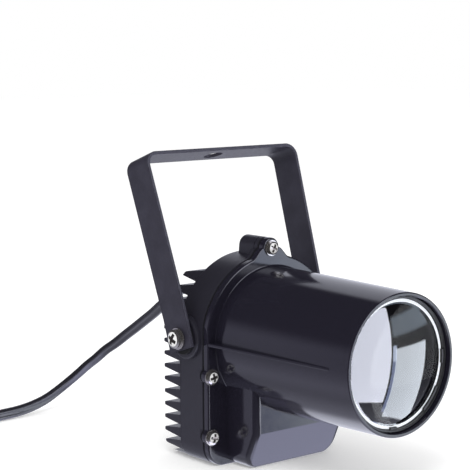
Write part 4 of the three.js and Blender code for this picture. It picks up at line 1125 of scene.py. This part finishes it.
def make_nylon():
    material = new_material("black_nylon", (0.012, 0.012, 0.013), 0.42)
    add_bump(material, noise(material, 0.3 * MM), 0.01 * MM, 0.5)
    spread(material, noise(material, 1.5 * MM), 0.36, 0.5, "Roughness")
    return material


nylon = make_nylon()
retainer = make_retainer()
retainer.name = "lens_ring"
dress(retainer, nylon, "head", "nylon", "lens_retainer")
print("retainer:", len(retainer.data.polygons), "faces")

# %% [markdown]
# Seven screws show. They are pan heads with a cross recess and a captive washer. One screw is
# turned and cut as a mesh, and Geometry Nodes set it on a point for each place. Every point
# carries the direction that its screw faces, and a random turn with a fixed seed keeps the
# crosses from lining up, as they never do on a real product.

# %% Nickel-plated screws
SCREW_SEED = 4
RIM_SHARE = 0.5
CROSS_SHARES = {"arm": 0.33, "half": 0.1, "floor": 0.12}
# How far from the axis and how far below the dome a face must lie to take the painted shade of the recess.
RECESS_REACH = 0.4
RECESS_DEPTH = 0.04 * MM


def make_nickel():
    material = new_material("nickel", (0.44, 0.42, 0.405), 0.17, 0.93)
    add_bump(material, noise(material, 0.25 * MM, 3), 0.006 * MM, 0.5)
    spread(material, noise(material, 0.8 * MM, 4), 0.12, 0.24, "Roughness")
    return material


def head_sphere(head, tall, ring_thick):
    """The radius of the sphere that the head's dome is a cap of."""
    rise = (1 - RIM_SHARE) * (tall - ring_thick)
    return ((head / 2) ** 2 + rise**2) / (2 * rise)


def make_screw(shank, head, tall, long, ring, ring_thick):
    """A screw whose head faces up from z = 0, with a tapered cross cut into it."""
    nick = 0.1 * MM
    sphere = head_sphere(head, tall, ring_thick)
    far = math.asin(head / 2 / sphere)
    cap = [(sphere * math.sin(t), tall - sphere + sphere * math.cos(t)) for t in (far * (1 - i / 8) for i in range(9))]
    profile = [(0, -long), (shank / 4, -long), (shank / 2, shank / 2 - long), (shank / 2, 0)]
    profile += [(ring - nick, 0), (ring, nick), (ring, ring_thick - nick), (ring - nick, ring_thick)]
    profile += [(head / 2 - nick, ring_thick), (head / 2 - nick, ring_thick + nick), *cap]
    screw = revolve("screw", profile, 48, (0, 0), "Z")
    arm, half = CROSS_SHARES["arm"] * head, CROSS_SHARES["half"] * head
    floor = CROSS_SHARES["floor"] * tall
    cutters = []
    for turn in (0, RIGHT_ANGLE):
        rings = []
        for z, grow in ((floor, 0.55), (tall + nick, 1.1)):
            corners = [(-arm, -half), (arm, -half), (arm, half), (-arm, half)]
            spun = Matrix.Rotation(turn, 3, "Z")
            rings.append([spun @ Vector((x * grow, y * (grow + 1) / 2, z)) for x, y in corners])
        cutters.append(loft("cross", rings))
    return boolean(screw, cutters, "DIFFERENCE")


def make_screw_tree(screw, material):
    tree = bpy.data.node_groups.new("screws", "GeometryNodeTree")
    start = tree_inputs(tree, Points=None, Screw=None, Seed=1)
    tree.interface.items_tree["Points"].socket_type = "NodeSocketGeometry"
    nodes, links = tree.nodes, tree.links
    item = nodes.new("GeometryNodeObjectInfo")
    item.inputs["As Instance"].default_value = True
    aim = nodes.new("GeometryNodeInputNamedAttribute")
    aim.data_type = "FLOAT_VECTOR"
    aim.inputs["Name"].default_value = "aim"
    align = nodes.new("FunctionNodeAlignRotationToVector")
    align.axis = "Z"
    chance = nodes.new("FunctionNodeRandomValue")
    chance.inputs["Max"].default_value = RIGHT_ANGLE
    spin = nodes.new("FunctionNodeAxisAngleToRotation")
    spin.inputs["Axis"].default_value = (0, 0, 1)
    turn = nodes.new("FunctionNodeRotateRotation")
    turn.rotation_space = "LOCAL"
    copy = nodes.new("GeometryNodeInstanceOnPoints")
    links.new(start.outputs["Screw"], item.inputs["Object"])
    links.new(aim.outputs["Attribute"], align.inputs["Vector"])
    links.new(start.outputs["Seed"], chance.inputs["Seed"])
    links.new(chance.outputs[1], spin.inputs["Angle"])
    links.new(align.outputs["Rotation"], turn.inputs["Rotation"])
    links.new(spin.outputs["Rotation"], turn.inputs["Rotate By"])
    links.new(start.outputs["Points"], copy.inputs["Points"])
    links.new(item.outputs["Geometry"], copy.inputs["Instance"])
    links.new(turn.outputs["Rotation"], copy.inputs["Rotation"])
    close_tree(tree, copy.outputs["Instances"], material)
    return tree


def shade_recesses(screws, places, head, tall, ring_thick):
    """Gives the faces of the crosses a dark material, as painted shade in the recesses."""
    screws.data.materials.append(recess_shade)
    sphere = head_sphere(head, tall, ring_thick)
    for face in screws.data.polygons:
        place, aim = min(places, key=lambda pair: (face.center - Vector(pair[0])).length)
        offset = face.center - Vector(place)
        height = offset.dot(Vector(aim))
        far = (offset - height * Vector(aim)).length
        if far < RECESS_REACH * head and height > 0:
            dome_height = tall - sphere + math.sqrt(sphere**2 - far**2)
            face.material_index = int(height < dome_height - RECESS_DEPTH)


def set_screws(name, places, nodes, shank, head, tall, long, ring, ring_thick):
    """Sets a screw at each (place, aim) and removes the screw that was copied."""
    screw = make_screw(shank, head, tall, long, ring, ring_thick)
    points = bpy.data.meshes.new(name + "_points")
    points.from_pydata([place for place, _ in places], [], [])
    aims = points.attributes.new("aim", "FLOAT_VECTOR", "POINT")
    aims.data.foreach_set("vector", [c for _, aim in places for c in aim])
    tree = make_screw_tree(screw, nickel)
    screws = grown(name, tree, points, nickel, Screw=screw, Seed=SCREW_SEED)
    bpy.data.objects.remove(screw)
    dress(screws, nickel, "head", "nickel", *nodes)
    shade_recesses(screws, places, head, tall, ring_thick)
    print(name + ":", len(places), "screws,", len(screws.data.polygons), "faces")


nickel = make_nickel()
# Painted shade: a dark, dull material for the faces inside the crosses.
recess_shade = new_material("recess_shade", (0.016, 0.015, 0.015), 0.7, Specular_IOR_Level=0.2)
front_places = [((x, FLANGE_FRONT, z), (0, -1, 0)) for x, z in [(0, LUG_TOP), *SIDE_SCREWS]]
front_nodes = ["housing_screw_" + n for n in ("top", "mid_left", "mid_right", "low_left", "low_right")]
m3_sizes = (2.9 * MM, 5.6 * MM, 2.2 * MM, 9.5 * MM, 3.4 * MM, 0.5 * MM)
set_screws("housing_screws", front_places, front_nodes, *m3_sizes)
PIVOT_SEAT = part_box("pivot_washer_right")[1].x
PIVOT_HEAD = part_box("pivot_screw_right")[1].x - PIVOT_SEAT
m4_sizes = (3.9 * MM, 7.8 * MM, PIVOT_HEAD, 12.4 * MM, 3.9 * MM, 0.2 * MM)
pivot_places = [((side * PIVOT_SEAT, 0, PIVOT.z), (side, 0, 0)) for side in (-1, 1)]
set_screws("pivot_screws", pivot_places, ["pivot_screw_left", "pivot_screw_right"], *m4_sizes)

# %% [markdown]
# Under each pivot screw lies a steel washer outside the strap and a rubber one inside it. The
# rubber is squeezed between the strap and the casting's pad, and its friction holds the light at
# the angle that it's turned to.

# %% The pivots' washers


def make_washer_pair(name, source, hole, edge):
    """Both washers of a kind as one piece, sized from the CAD washer on the right."""
    low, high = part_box(source)
    radius = (high.z - low.z) / 2
    rings = []
    for side in (-1, 1):
        inner, outer = side * low.x, side * high.x
        flat = [(hole, inner), (radius - edge, inner), (radius, inner + side * edge)]
        flat += [(radius, outer - side * edge), (radius - edge, outer), (hole, outer)]
        rings.append(revolve(name, flat, 64, (0, PIVOT.z), "X"))
    return boolean(rings[0], rings[1:], "UNION")


M4_HOLE = 4.5 * MM / 2
friction = make_washer_pair("friction_washers", "friction_washer_right", M4_HOLE, 0.2 * MM)
dress(friction, rubber, "head", "rubber", "friction_washer_left", "friction_washer_right")
steel = make_washer_pair("pivot_washers", "pivot_washer_right", M4_HOLE, 0.12 * MM)
dress(steel, nickel, "head", "nickel", "pivot_washer_left", "pivot_washer_right")
print("washers:", len(friction.data.polygons) + len(steel.data.polygons), "faces")

# %% [markdown]
# The bracket is a steel strap bent into a U. It is drawn flat, as a line from one arm's end round
# both bends to the other, and a section with slightly rounded edges follows it. The rounding is
# what a press leaves on sheet steel, and it gives the strap the fine bright line along its edge.

# %% The bracket
STRAP_WIDE = 15.5 * MM
STRAP_THICK = 1.5 * MM
STRAP_FOOT = 5 * MM
STRAP_UPRIGHT = 9 * MM
STRAP_RISE = 77.6 * MM
STRAP_BEND = 4 * MM
STRAP_INNER = PAD_FACE + 1.15 * MM
ARM_SPLAY = math.radians(2.5)
LEAN_BACK = math.radians(19)
HANG_HOLE = 8.4 * MM / 2
STRAP_EDGE = 0.28 * MM


def strap_stations():
    """Points and outward directions along one arm, in (x, z) about the pivot."""
    bend = STRAP_BEND + STRAP_THICK / 2
    middle_z = STRAP_RISE - STRAP_THICK - STRAP_BEND
    lean = (middle_z - STRAP_UPRIGHT) * math.tan(ARM_SPLAY)
    middle_x = STRAP_INNER + lean - STRAP_BEND / math.cos(ARM_SPLAY)
    x = STRAP_INNER + STRAP_THICK / 2
    level = (1, 0)
    knee = (math.cos(ARM_SPLAY / 2), -math.sin(ARM_SPLAY / 2))
    line = [((x, -STRAP_FOOT), level), ((x, 0), level), ((x, STRAP_UPRIGHT), knee)]
    for i in range(13):
        t = -ARM_SPLAY + (RIGHT_ANGLE + ARM_SPLAY) * i / 12
        away = (math.cos(t), math.sin(t))
        line.append(((middle_x + bend * away[0], middle_z + bend * away[1]), away))
    return line


def strap_section():
    """Points (out, along Y) of the strap's section with rounded edges."""
    half_t, half_w, r = STRAP_THICK / 2, STRAP_WIDE / 2, STRAP_EDGE
    corners = []
    for sx, sy, start in ((1, 1, 0), (-1, 1, 1), (-1, -1, 2), (1, -1, 3)):
        turn = start * RIGHT_ANGLE
        corners += arc(sx * (half_t - r), sy * (half_w - r), r, turn, turn + RIGHT_ANGLE, 4)
    return corners


def make_bracket():
    arm = strap_stations()
    other = [((-x, z), (-ax, az)) for (x, z), (ax, az) in reversed(arm)]
    rings = []
    for (x, z), (ax, az) in [*arm, *other]:
        rings.append([Vector((x + out * ax, y, z + out * az)) for out, y in strap_section()])
    strap = loft("strap", rings)
    bar_hole = cylinder("bar_hole", "Z", HANG_HOLE, STRAP_RISE - 2 * STRAP_THICK, STRAP_RISE + STRAP_THICK, (0, 0), 64)
    pin_hole = cylinder("pin_hole", "X", M4_HOLE, -PIVOT_SEAT, PIVOT_SEAT, (0, 0), 48)
    boolean(strap, [bar_hole, pin_hole], "DIFFERENCE")
    strap.data.transform(Matrix.Translation(PIVOT) @ Matrix.Rotation(LEAN_BACK * -1, 4, "X"))
    return weigh_normals(strap)


def make_strap_paint():
    material = new_material("strap_powder_coat", (0.029, 0.027, 0.043), 0.5)
    add_bump(material, noise(material, 0.28 * MM, 3), 0.02 * MM, 0.6)
    spread(material, noise(material, 1.2 * MM, 4), 0.42, 0.6, "Roughness")
    tint(material, noise(material, 8 * MM, 4), (0.0255, 0.0235, 0.0375), (0.0335, 0.0315, 0.049))
    return material


strap_paint = make_strap_paint()
bracket = make_bracket()
bracket.name = "strap"
dress(bracket, strap_paint, "yoke", "strap_steel", "bracket")
print("strap:", [round(v / MM, 1) for v in bracket.dimensions])

# %% [markdown]
# The flex leaves through a strain relief: a collar on the casting's boss and a soft boot whose
# grooves let it bend. The boot is a loft of flattened rings. Each of its ribs swells a little
# between two grooves, so the row of ribs comes from one wave along the boot's length.

# %% The strain relief
COLLAR = 5.6 * MM
COLLAR_THICK = 1.8 * MM
BOOT_ROOT = 4.4 * MM
BOOT_END = 3.4 * MM
BOOT_FLAT = 0.78
BOOT_RIBS = 5
BOOT_GROOVE = 0.7 * MM
BOOT_STEPS = 14


def make_boot():
    start, end = GLAND_SEAT + COLLAR_THICK - MM / 2, gland_high.y
    count = BOOT_RIBS * BOOT_STEPS
    rings = []
    for i in range(count + 1):
        share = i / count
        phase = share * BOOT_RIBS % 1
        dip = BOOT_GROOVE * (1 - smooth_step(abs(phase - 0.3), 0, 0.16))
        wide = BOOT_ROOT + (BOOT_END - BOOT_ROOT) * share - dip
        y = start + (end - start) * share
        ring = arc(0, 0, wide, 0, FULL_TURN, 48)[1:]
        rings.append([Vector((x, y, GLAND_Z + z * BOOT_FLAT)) for x, z in ring])
    return loft("boot", rings)


def make_gland():
    collar = cylinder("collar", "Y", COLLAR, GLAND_SEAT, GLAND_SEAT + COLLAR_THICK, (0, GLAND_Z), 64, 0, 0.5 * MM)
    neck = cylinder("neck", "Y", GLAND_NECK, gland_low.y, GLAND_SEAT + MM / 2, (0, GLAND_Z))
    return boolean(make_boot(), [collar, neck], "UNION")


gland = make_gland()
gland.name = "strain_relief"
dress(gland, nylon, "head", "nylon", "cord_gland")
print("strain relief ends at y =", round(gland_high.y / MM, 1), "mm")

# %% [markdown]
# The far end of the flex lies beside the light: a band holds the coil together, and a moulded
# plug with two flat blades ends it. The plug is lofted from rounded rectangles. A superellipse
# gives those in one formula, and its ring keeps its number of points while it grows.

# %% The tie, the plug and its blades
TIE_WIDE = 9 * MM
plug_low, plug_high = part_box("plug_body")
blade_low, blade_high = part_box("plug_blade_left")
PLUG_LONG = plug_high.x - plug_low.x
PLUG_Y = (plug_low.y + plug_high.y) / 2
PLUG_Z = (plug_low.z + plug_high.z) / 2
PLUG_STATION_SHARES = [
    (0, 0.33, 0.455),
    (0.28, 0.33, 0.455),
    (0.36, 0.42, 0.53),
    (0.46, 0.72, 0.76),
    (0.56, 0.93, 0.94),
    (0.66, 1, 1),
    (0.94, 1, 1),
    (0.985, 0.97, 0.955),
    (1, 0.91, 0.87),
]


def make_plug():
    wide, tall = plug_high.y - plug_low.y, plug_high.z - plug_low.z
    stations = []
    for (s0, w0, t0), (s1, w1, t1) in zip(PLUG_STATION_SHARES, PLUG_STATION_SHARES[1:]):
        for k in range(4):
            mix = smooth_step(k / 4, 0, 1)
            stations.append((s0 + (s1 - s0) * k / 4, w0 + (w1 - w0) * mix, t0 + (t1 - t0) * mix))
    stations.append(PLUG_STATION_SHARES[-1])
    rings = []
    for share, w, t in stations:
        ring = []
        for k in range(64):
            angle = FULL_TURN * k / 64
            c, s = math.cos(angle), math.sin(angle)
            y = PLUG_Y + math.copysign(math.sqrt(abs(c)), c) * w * wide / 2
            z = PLUG_Z + math.copysign(math.sqrt(abs(s)), s) * t * tall / 2
            ring.append(Vector((plug_low.x + PLUG_LONG * share, y, z)))
        rings.append(ring)
    return loft("plug", rings, angle=math.radians(40))


def make_blade(node):
    """A flat blade with chamfered corners and a hole, the size of its CAD node."""
    low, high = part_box(node)
    half = (high.z - low.z) / 2
    middle = (high.z + low.z) / 2
    line = [(low.x, -half), (high.x - half / 2, -half), (high.x, -half / 2)]
    line += [(x, -z) for x, z in reversed(line)]
    blade = loft(node, [[Vector((x, y, middle + z)) for x, z in line] for y in (low.y, high.y)])
    bevel(blade, 0.2 * MM, 3)
    hole = cylinder("hole", "Y", 1.6 * MM, low.y - MM, high.y + MM, (high.x - 3.2 * MM, middle), 32)
    return boolean(blade, [hole], "DIFFERENCE")


def make_brass():
    material = new_material("brass", (0.78, 0.58, 0.27), 0.24, 1)
    add_bump(material, noise(material, 0.5 * MM, 3, (0.1, 1, 1)), 0.005 * MM, 0.5)
    spread(material, noise(material, 2 * MM), 0.18, 0.32, "Roughness")
    return material


def make_tie():
    """A flat band bent into a rounded rectangle round the turns."""
    low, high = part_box("cord_tie")
    half_t, corner = TIE_THICK / 2, 1.2 * MM
    x0, x1, z0, z1 = low.x + half_t, high.x - half_t, low.z + half_t, high.z - half_t
    line = []
    for x, z, start in ((x1, z1, 0), (x0, z1, 1), (x0, z0, 2), (x1, z0, 3)):
        sx, sz = (1 if x == x1 else -1), (1 if z == z1 else -1)
        centre = (x - sx * corner, z - sz * corner)
        for i in range(7):
            t = (start + i / 6) * RIGHT_ANGLE
            line.append((centre, (math.cos(t), math.sin(t))))
    edge = 0.2 * MM
    section = []
    for s, y, start in ((1, high.y, 0), (-1, high.y, 1), (-1, low.y, 2), (1, low.y, 3)):
        sy = 1 if y == high.y else -1
        turn = start * RIGHT_ANGLE
        section += arc(s * (half_t - edge), y - sy * edge, edge, turn, turn + RIGHT_ANGLE, 3)
    rings = []
    for (cx, cz), (ax, az) in line:
        rings.append([Vector((cx + (corner + o) * ax, y, cz + (corner + o) * az)) for o, y in section])
    return loft("tie", rings, closed=True)


plug = make_plug()
dress(plug, flex_finish, "head", "flex", "plug_body")
brass = make_brass()
for side in ("left", "right"):
    blade = make_blade("plug_blade_" + side)
    blade.name = "blade_" + side
    dress(blade, brass, "head", "brass", "plug_blade_" + side)
tie = make_tie()
dress(tie, nylon, "head", "nylon", "cord_tie")
print("plug:", [round(v / MM, 1) for v in plug.dimensions])

# %% [markdown]
# The pieces inside keep their CAD shapes, which are right as they are, and only need a finish.
# Each gets a small material of its own kind from one table: a colour, a roughness, a metal share
# and the size of its grain.

# %% Finishes of the inner pieces
INNER = {
    "silicone_pad": ((0.42, 0.45, 0.5), 0.8, 0, 0.4, ["thermal_pad"]),
    "black_solder_mask": ((0.022, 0.023, 0.026), 0.4, 0, 0.3, ["led_star_board"]),
    "phosphor_dome": ((0.85, 0.68, 0.22), 0.3, 0, 0.2, ["led_emitter"]),
    "green_solder_mask": ((0.012, 0.09, 0.035), 0.35, 0, 0.5, ["driver_board"]),
    "winding_tape": ((0.62, 0.42, 0.06), 0.4, 0, 0.8, ["driver_transformer"]),
    "can_sleeve": ((0.02, 0.035, 0.15), 0.35, 0, 0.6, ["driver_capacitor_a"]),
    "black_sleeve": ((0.012, 0.012, 0.014), 0.4, 0, 0.6, ["driver_capacitor_b"]),
    "ferrite": ((0.04, 0.039, 0.041), 0.65, 0.1, 0.2, ["driver_choke"]),
    "white_plastic": ((0.7, 0.7, 0.67), 0.45, 0, 0.4, ["terminal_block"]),
    "red_wire": ((0.42, 0.014, 0.012), 0.4, 0, 0.5, ["led_lead_red"]),
    "black_wire": ((0.01, 0.01, 0.011), 0.4, 0, 0.5, ["led_lead_black"]),
}


def finish_node(node, material):
    slots = bpy.data.objects[frame["nodes"][node].name].material_slots
    for slot in slots:
        slot.material = material


def make_inner(name, color, roughness, metallic, grain):
    material = new_material(name, color, roughness, metallic)
    add_bump(material, noise(material, grain * MM), 0.02 * MM, 0.4)
    spread(material, noise(material, 3 * grain * MM), 0.85 * roughness, 1.15 * roughness, "Roughness")
    darker = tuple(0.85 * c for c in color)
    tint(material, noise(material, 6 * grain * MM), darker, color)
    return material


for name, (color, roughness, metallic, grain, pieces) in INNER.items():
    material = make_inner(name, color, roughness, metallic, grain)
    for node in pieces:
        finish_node(node, material)
acrylic = new_material("clear_acrylic", (0.97, 0.98, 1), 0.03, IOR=1.49, Transmission_Weight=1)
add_bump(acrylic, noise(acrylic, 4 * MM, 1), 0.01 * MM, 0.2)
finish_node("collimator_lens", acrylic)
finish_node("collimator_holder", nylon)
finish_node("supply_lead", flex_finish)
for node in ("star_screw_left", "star_screw_right", "driver_screw_left", "driver_screw_right"):
    finish_node(node, nickel)
print("inner finishes:", len(INNER) + 1)

# %% [markdown]
# The photograph is a product shot on white. A white floor runs to a white world, and the world
# shows white to the camera and dark to rays that pass through the glass. What a glossy black
# object shows is the room it mirrors, so the world has a second face for glossy rays: dark in
# front and at the left, white behind and below, and soft boxes at the right front. Each soft box
# is a window in azimuth and elevation with soft edges.

# %% The floor
FLOOR_HALF = 4


def make_floor():
    corners = [(-FLOOR_HALF, -FLOOR_HALF, 0), (FLOOR_HALF, -FLOOR_HALF, 0), (FLOOR_HALF, FLOOR_HALF, 0)]
    floor = piece_from("floor", [*corners, (-FLOOR_HALF, FLOOR_HALF, 0)], [(0, 1, 2, 3)])
    if floor.data.polygons[0].normal.z < 0:
        floor.data.flip_normals()
    material = new_material("white_floor", (0.93, 0.93, 0.93), 0.9, Specular_IOR_Level=0)
    nodes, links = material.node_tree.nodes, material.node_tree.links
    path = nodes.new("ShaderNodeLightPath")
    lift = nodes.new("ShaderNodeMath")
    lift.operation = "MULTIPLY"
    lift.inputs[1].default_value = 0.22
    shader = nodes["Principled BSDF"]
    shader.inputs["Emission Color"].default_value = (1, 1, 1, 1)
    links.new(path.outputs["Is Camera Ray"], lift.inputs[0])
    links.new(lift.outputs["Value"], shader.inputs["Emission Strength"])
    floor.data.materials.append(material)
    floor.visible_glossy = False
    floor.visible_shadow = False
    return floor


floor = make_floor()
print("floor:", 2 * FLOOR_HALF, "m square")

# %% The world
DIFFUSE_LEVEL = 0.85
DARK_LEVEL = (0.035, 0.034, 0.042)
# azimuth from the beam towards +X, elevation, their half widths, softness (degrees), strength, colour
SOFT_BOXES = [
    (141, 21, 14, 21, 4, 1.0, (0.86, 0.88, 1)),
    (141, -41, 26, 41, 9, 1.0, (0.86, 0.88, 1)),
    (-142, -10, 12, 25, 8, 0.6, (0.77, 0.77, 1)),
    (24, 3, 13.8, 29.2, 0.4, 5.2, (0.84, 0.87, 1)),
    (40.2, -17, 1.2, 13, 0.4, 1.5, (0.5, 0.6, 1)),
    (40.2, -7, 1.2, 3, 0.6, 2, (0.8, 0.88, 1)),
    (52.3, -18.5, 11.2, 13.2, 0.5, 3.5, (0.84, 0.91, 1)),
    (52.8, 3.4, 13.6, 3.8, 1, 0.8, (0.68, 0.82, 1)),
    (30, -54, 52, 14, 5, 2.65, (0.68, 0.7, 1)),
]


def make_world():
    world = bpy.data.worlds.new("studio")
    bpy.context.scene.world = world
    world.use_nodes = True
    nodes, links = world.node_tree.nodes, world.node_tree.links
    nodes.clear()

    def math_node(operation, *values):
        node = nodes.new("ShaderNodeMath")
        node.operation = operation
        for slot, value in enumerate(values):
            if isinstance(value, (int, float)):
                node.inputs[slot].default_value = value
            else:
                links.new(value, node.inputs[slot])
        return node.outputs["Value"]

    def mapped(value, low, high, start=0.0, end=1.0):
        node = nodes.new("ShaderNodeMapRange")
        node.interpolation_type = "SMOOTHSTEP"
        for name, number in (("From Min", low), ("From Max", high), ("To Min", start), ("To Max", end)):
            node.inputs[name].default_value = number
        links.new(value, node.inputs["Value"])
        return node.outputs["Result"]

    def window(value, centre, half, soft):
        """1 within half of the centre, 0 outside, with a soft edge."""
        off = math_node("ABSOLUTE", math_node("SUBTRACT", value, centre))
        return mapped(off, half - soft, half + soft, 1, 0)

    def emit(strength, color):
        node = nodes.new("ShaderNodeBackground")
        node.inputs["Color"].default_value = (*color, 1)
        if isinstance(strength, (int, float)):
            node.inputs["Strength"].default_value = strength
        else:
            links.new(strength, node.inputs["Strength"])
        return node.outputs["Background"]

    def add(a, b):
        node = nodes.new("ShaderNodeAddShader")
        links.new(a, node.inputs[0])
        links.new(b, node.inputs[1])
        return node.outputs["Shader"]

    def mix(factor, a, b):
        node = nodes.new("ShaderNodeMixShader")
        links.new(factor, node.inputs["Fac"])
        links.new(a, node.inputs[1])
        links.new(b, node.inputs[2])
        return node.outputs["Shader"]

    where = nodes.new("ShaderNodeTexCoord")
    parts = nodes.new("ShaderNodeSeparateXYZ")
    links.new(where.outputs["Generated"], parts.inputs["Vector"])
    ahead = math_node("MULTIPLY", parts.outputs["Y"], -1)
    azimuth = math_node("DEGREES", math_node("ARCTAN2", parts.outputs["X"], ahead))
    elevation = math_node("DEGREES", math_node("ARCSINE", parts.outputs["Z"]))
    room = emit(1, DARK_LEVEL)
    below = mapped(elevation, -8, -62, 0, 0.9)
    room = add(room, emit(below, (0.8, 0.82, 1)))
    for centre, height, half, half_height, soft, strength, color in SOFT_BOXES:
        across = window(azimuth, centre, half, soft)
        along = window(elevation, height, half_height, soft)
        room = add(room, emit(math_node("MULTIPLY", math_node("MULTIPLY", across, along), strength), color))
    path = nodes.new("ShaderNodeLightPath")
    plain = mix(path.outputs["Is Glossy Ray"], emit(DIFFUSE_LEVEL, (1, 1, 1)), room)
    plain = mix(path.outputs["Is Transmission Ray"], plain, emit(1, DARK_LEVEL))
    out = nodes.new("ShaderNodeOutputWorld")
    links.new(mix(path.outputs["Is Camera Ray"], plain, emit(1, (1, 1, 1))), out.inputs["Surface"])


make_world()
print("soft boxes:", len(SOFT_BOXES))

# %% Lamps
LAMP_AIM = Vector((0, -20, 45)) * MM


def make_lamp(name, place, size, power):
    """A soft area lamp that lights matt surfaces and leaves mirroring to the world."""
    data = bpy.data.lights.new(name, "AREA")
    data.shape = "DISK"
    data.size = size
    data.energy = power
    lamp = bpy.data.objects.new(name, data)
    bpy.context.scene.collection.objects.link(lamp)
    lamp.location = place
    lamp.rotation_euler = (LAMP_AIM - Vector(place)).to_track_quat("-Z", "Y").to_euler()
    lamp.visible_glossy = False
    return lamp


make_lamp("key", (-0.5, -0.5, 0.9), 0.5, 4)
make_lamp("fill", (0.8, -0.4, 0.4), 0.6, 2)
bpy.context.scene.view_settings.view_transform = "Standard"
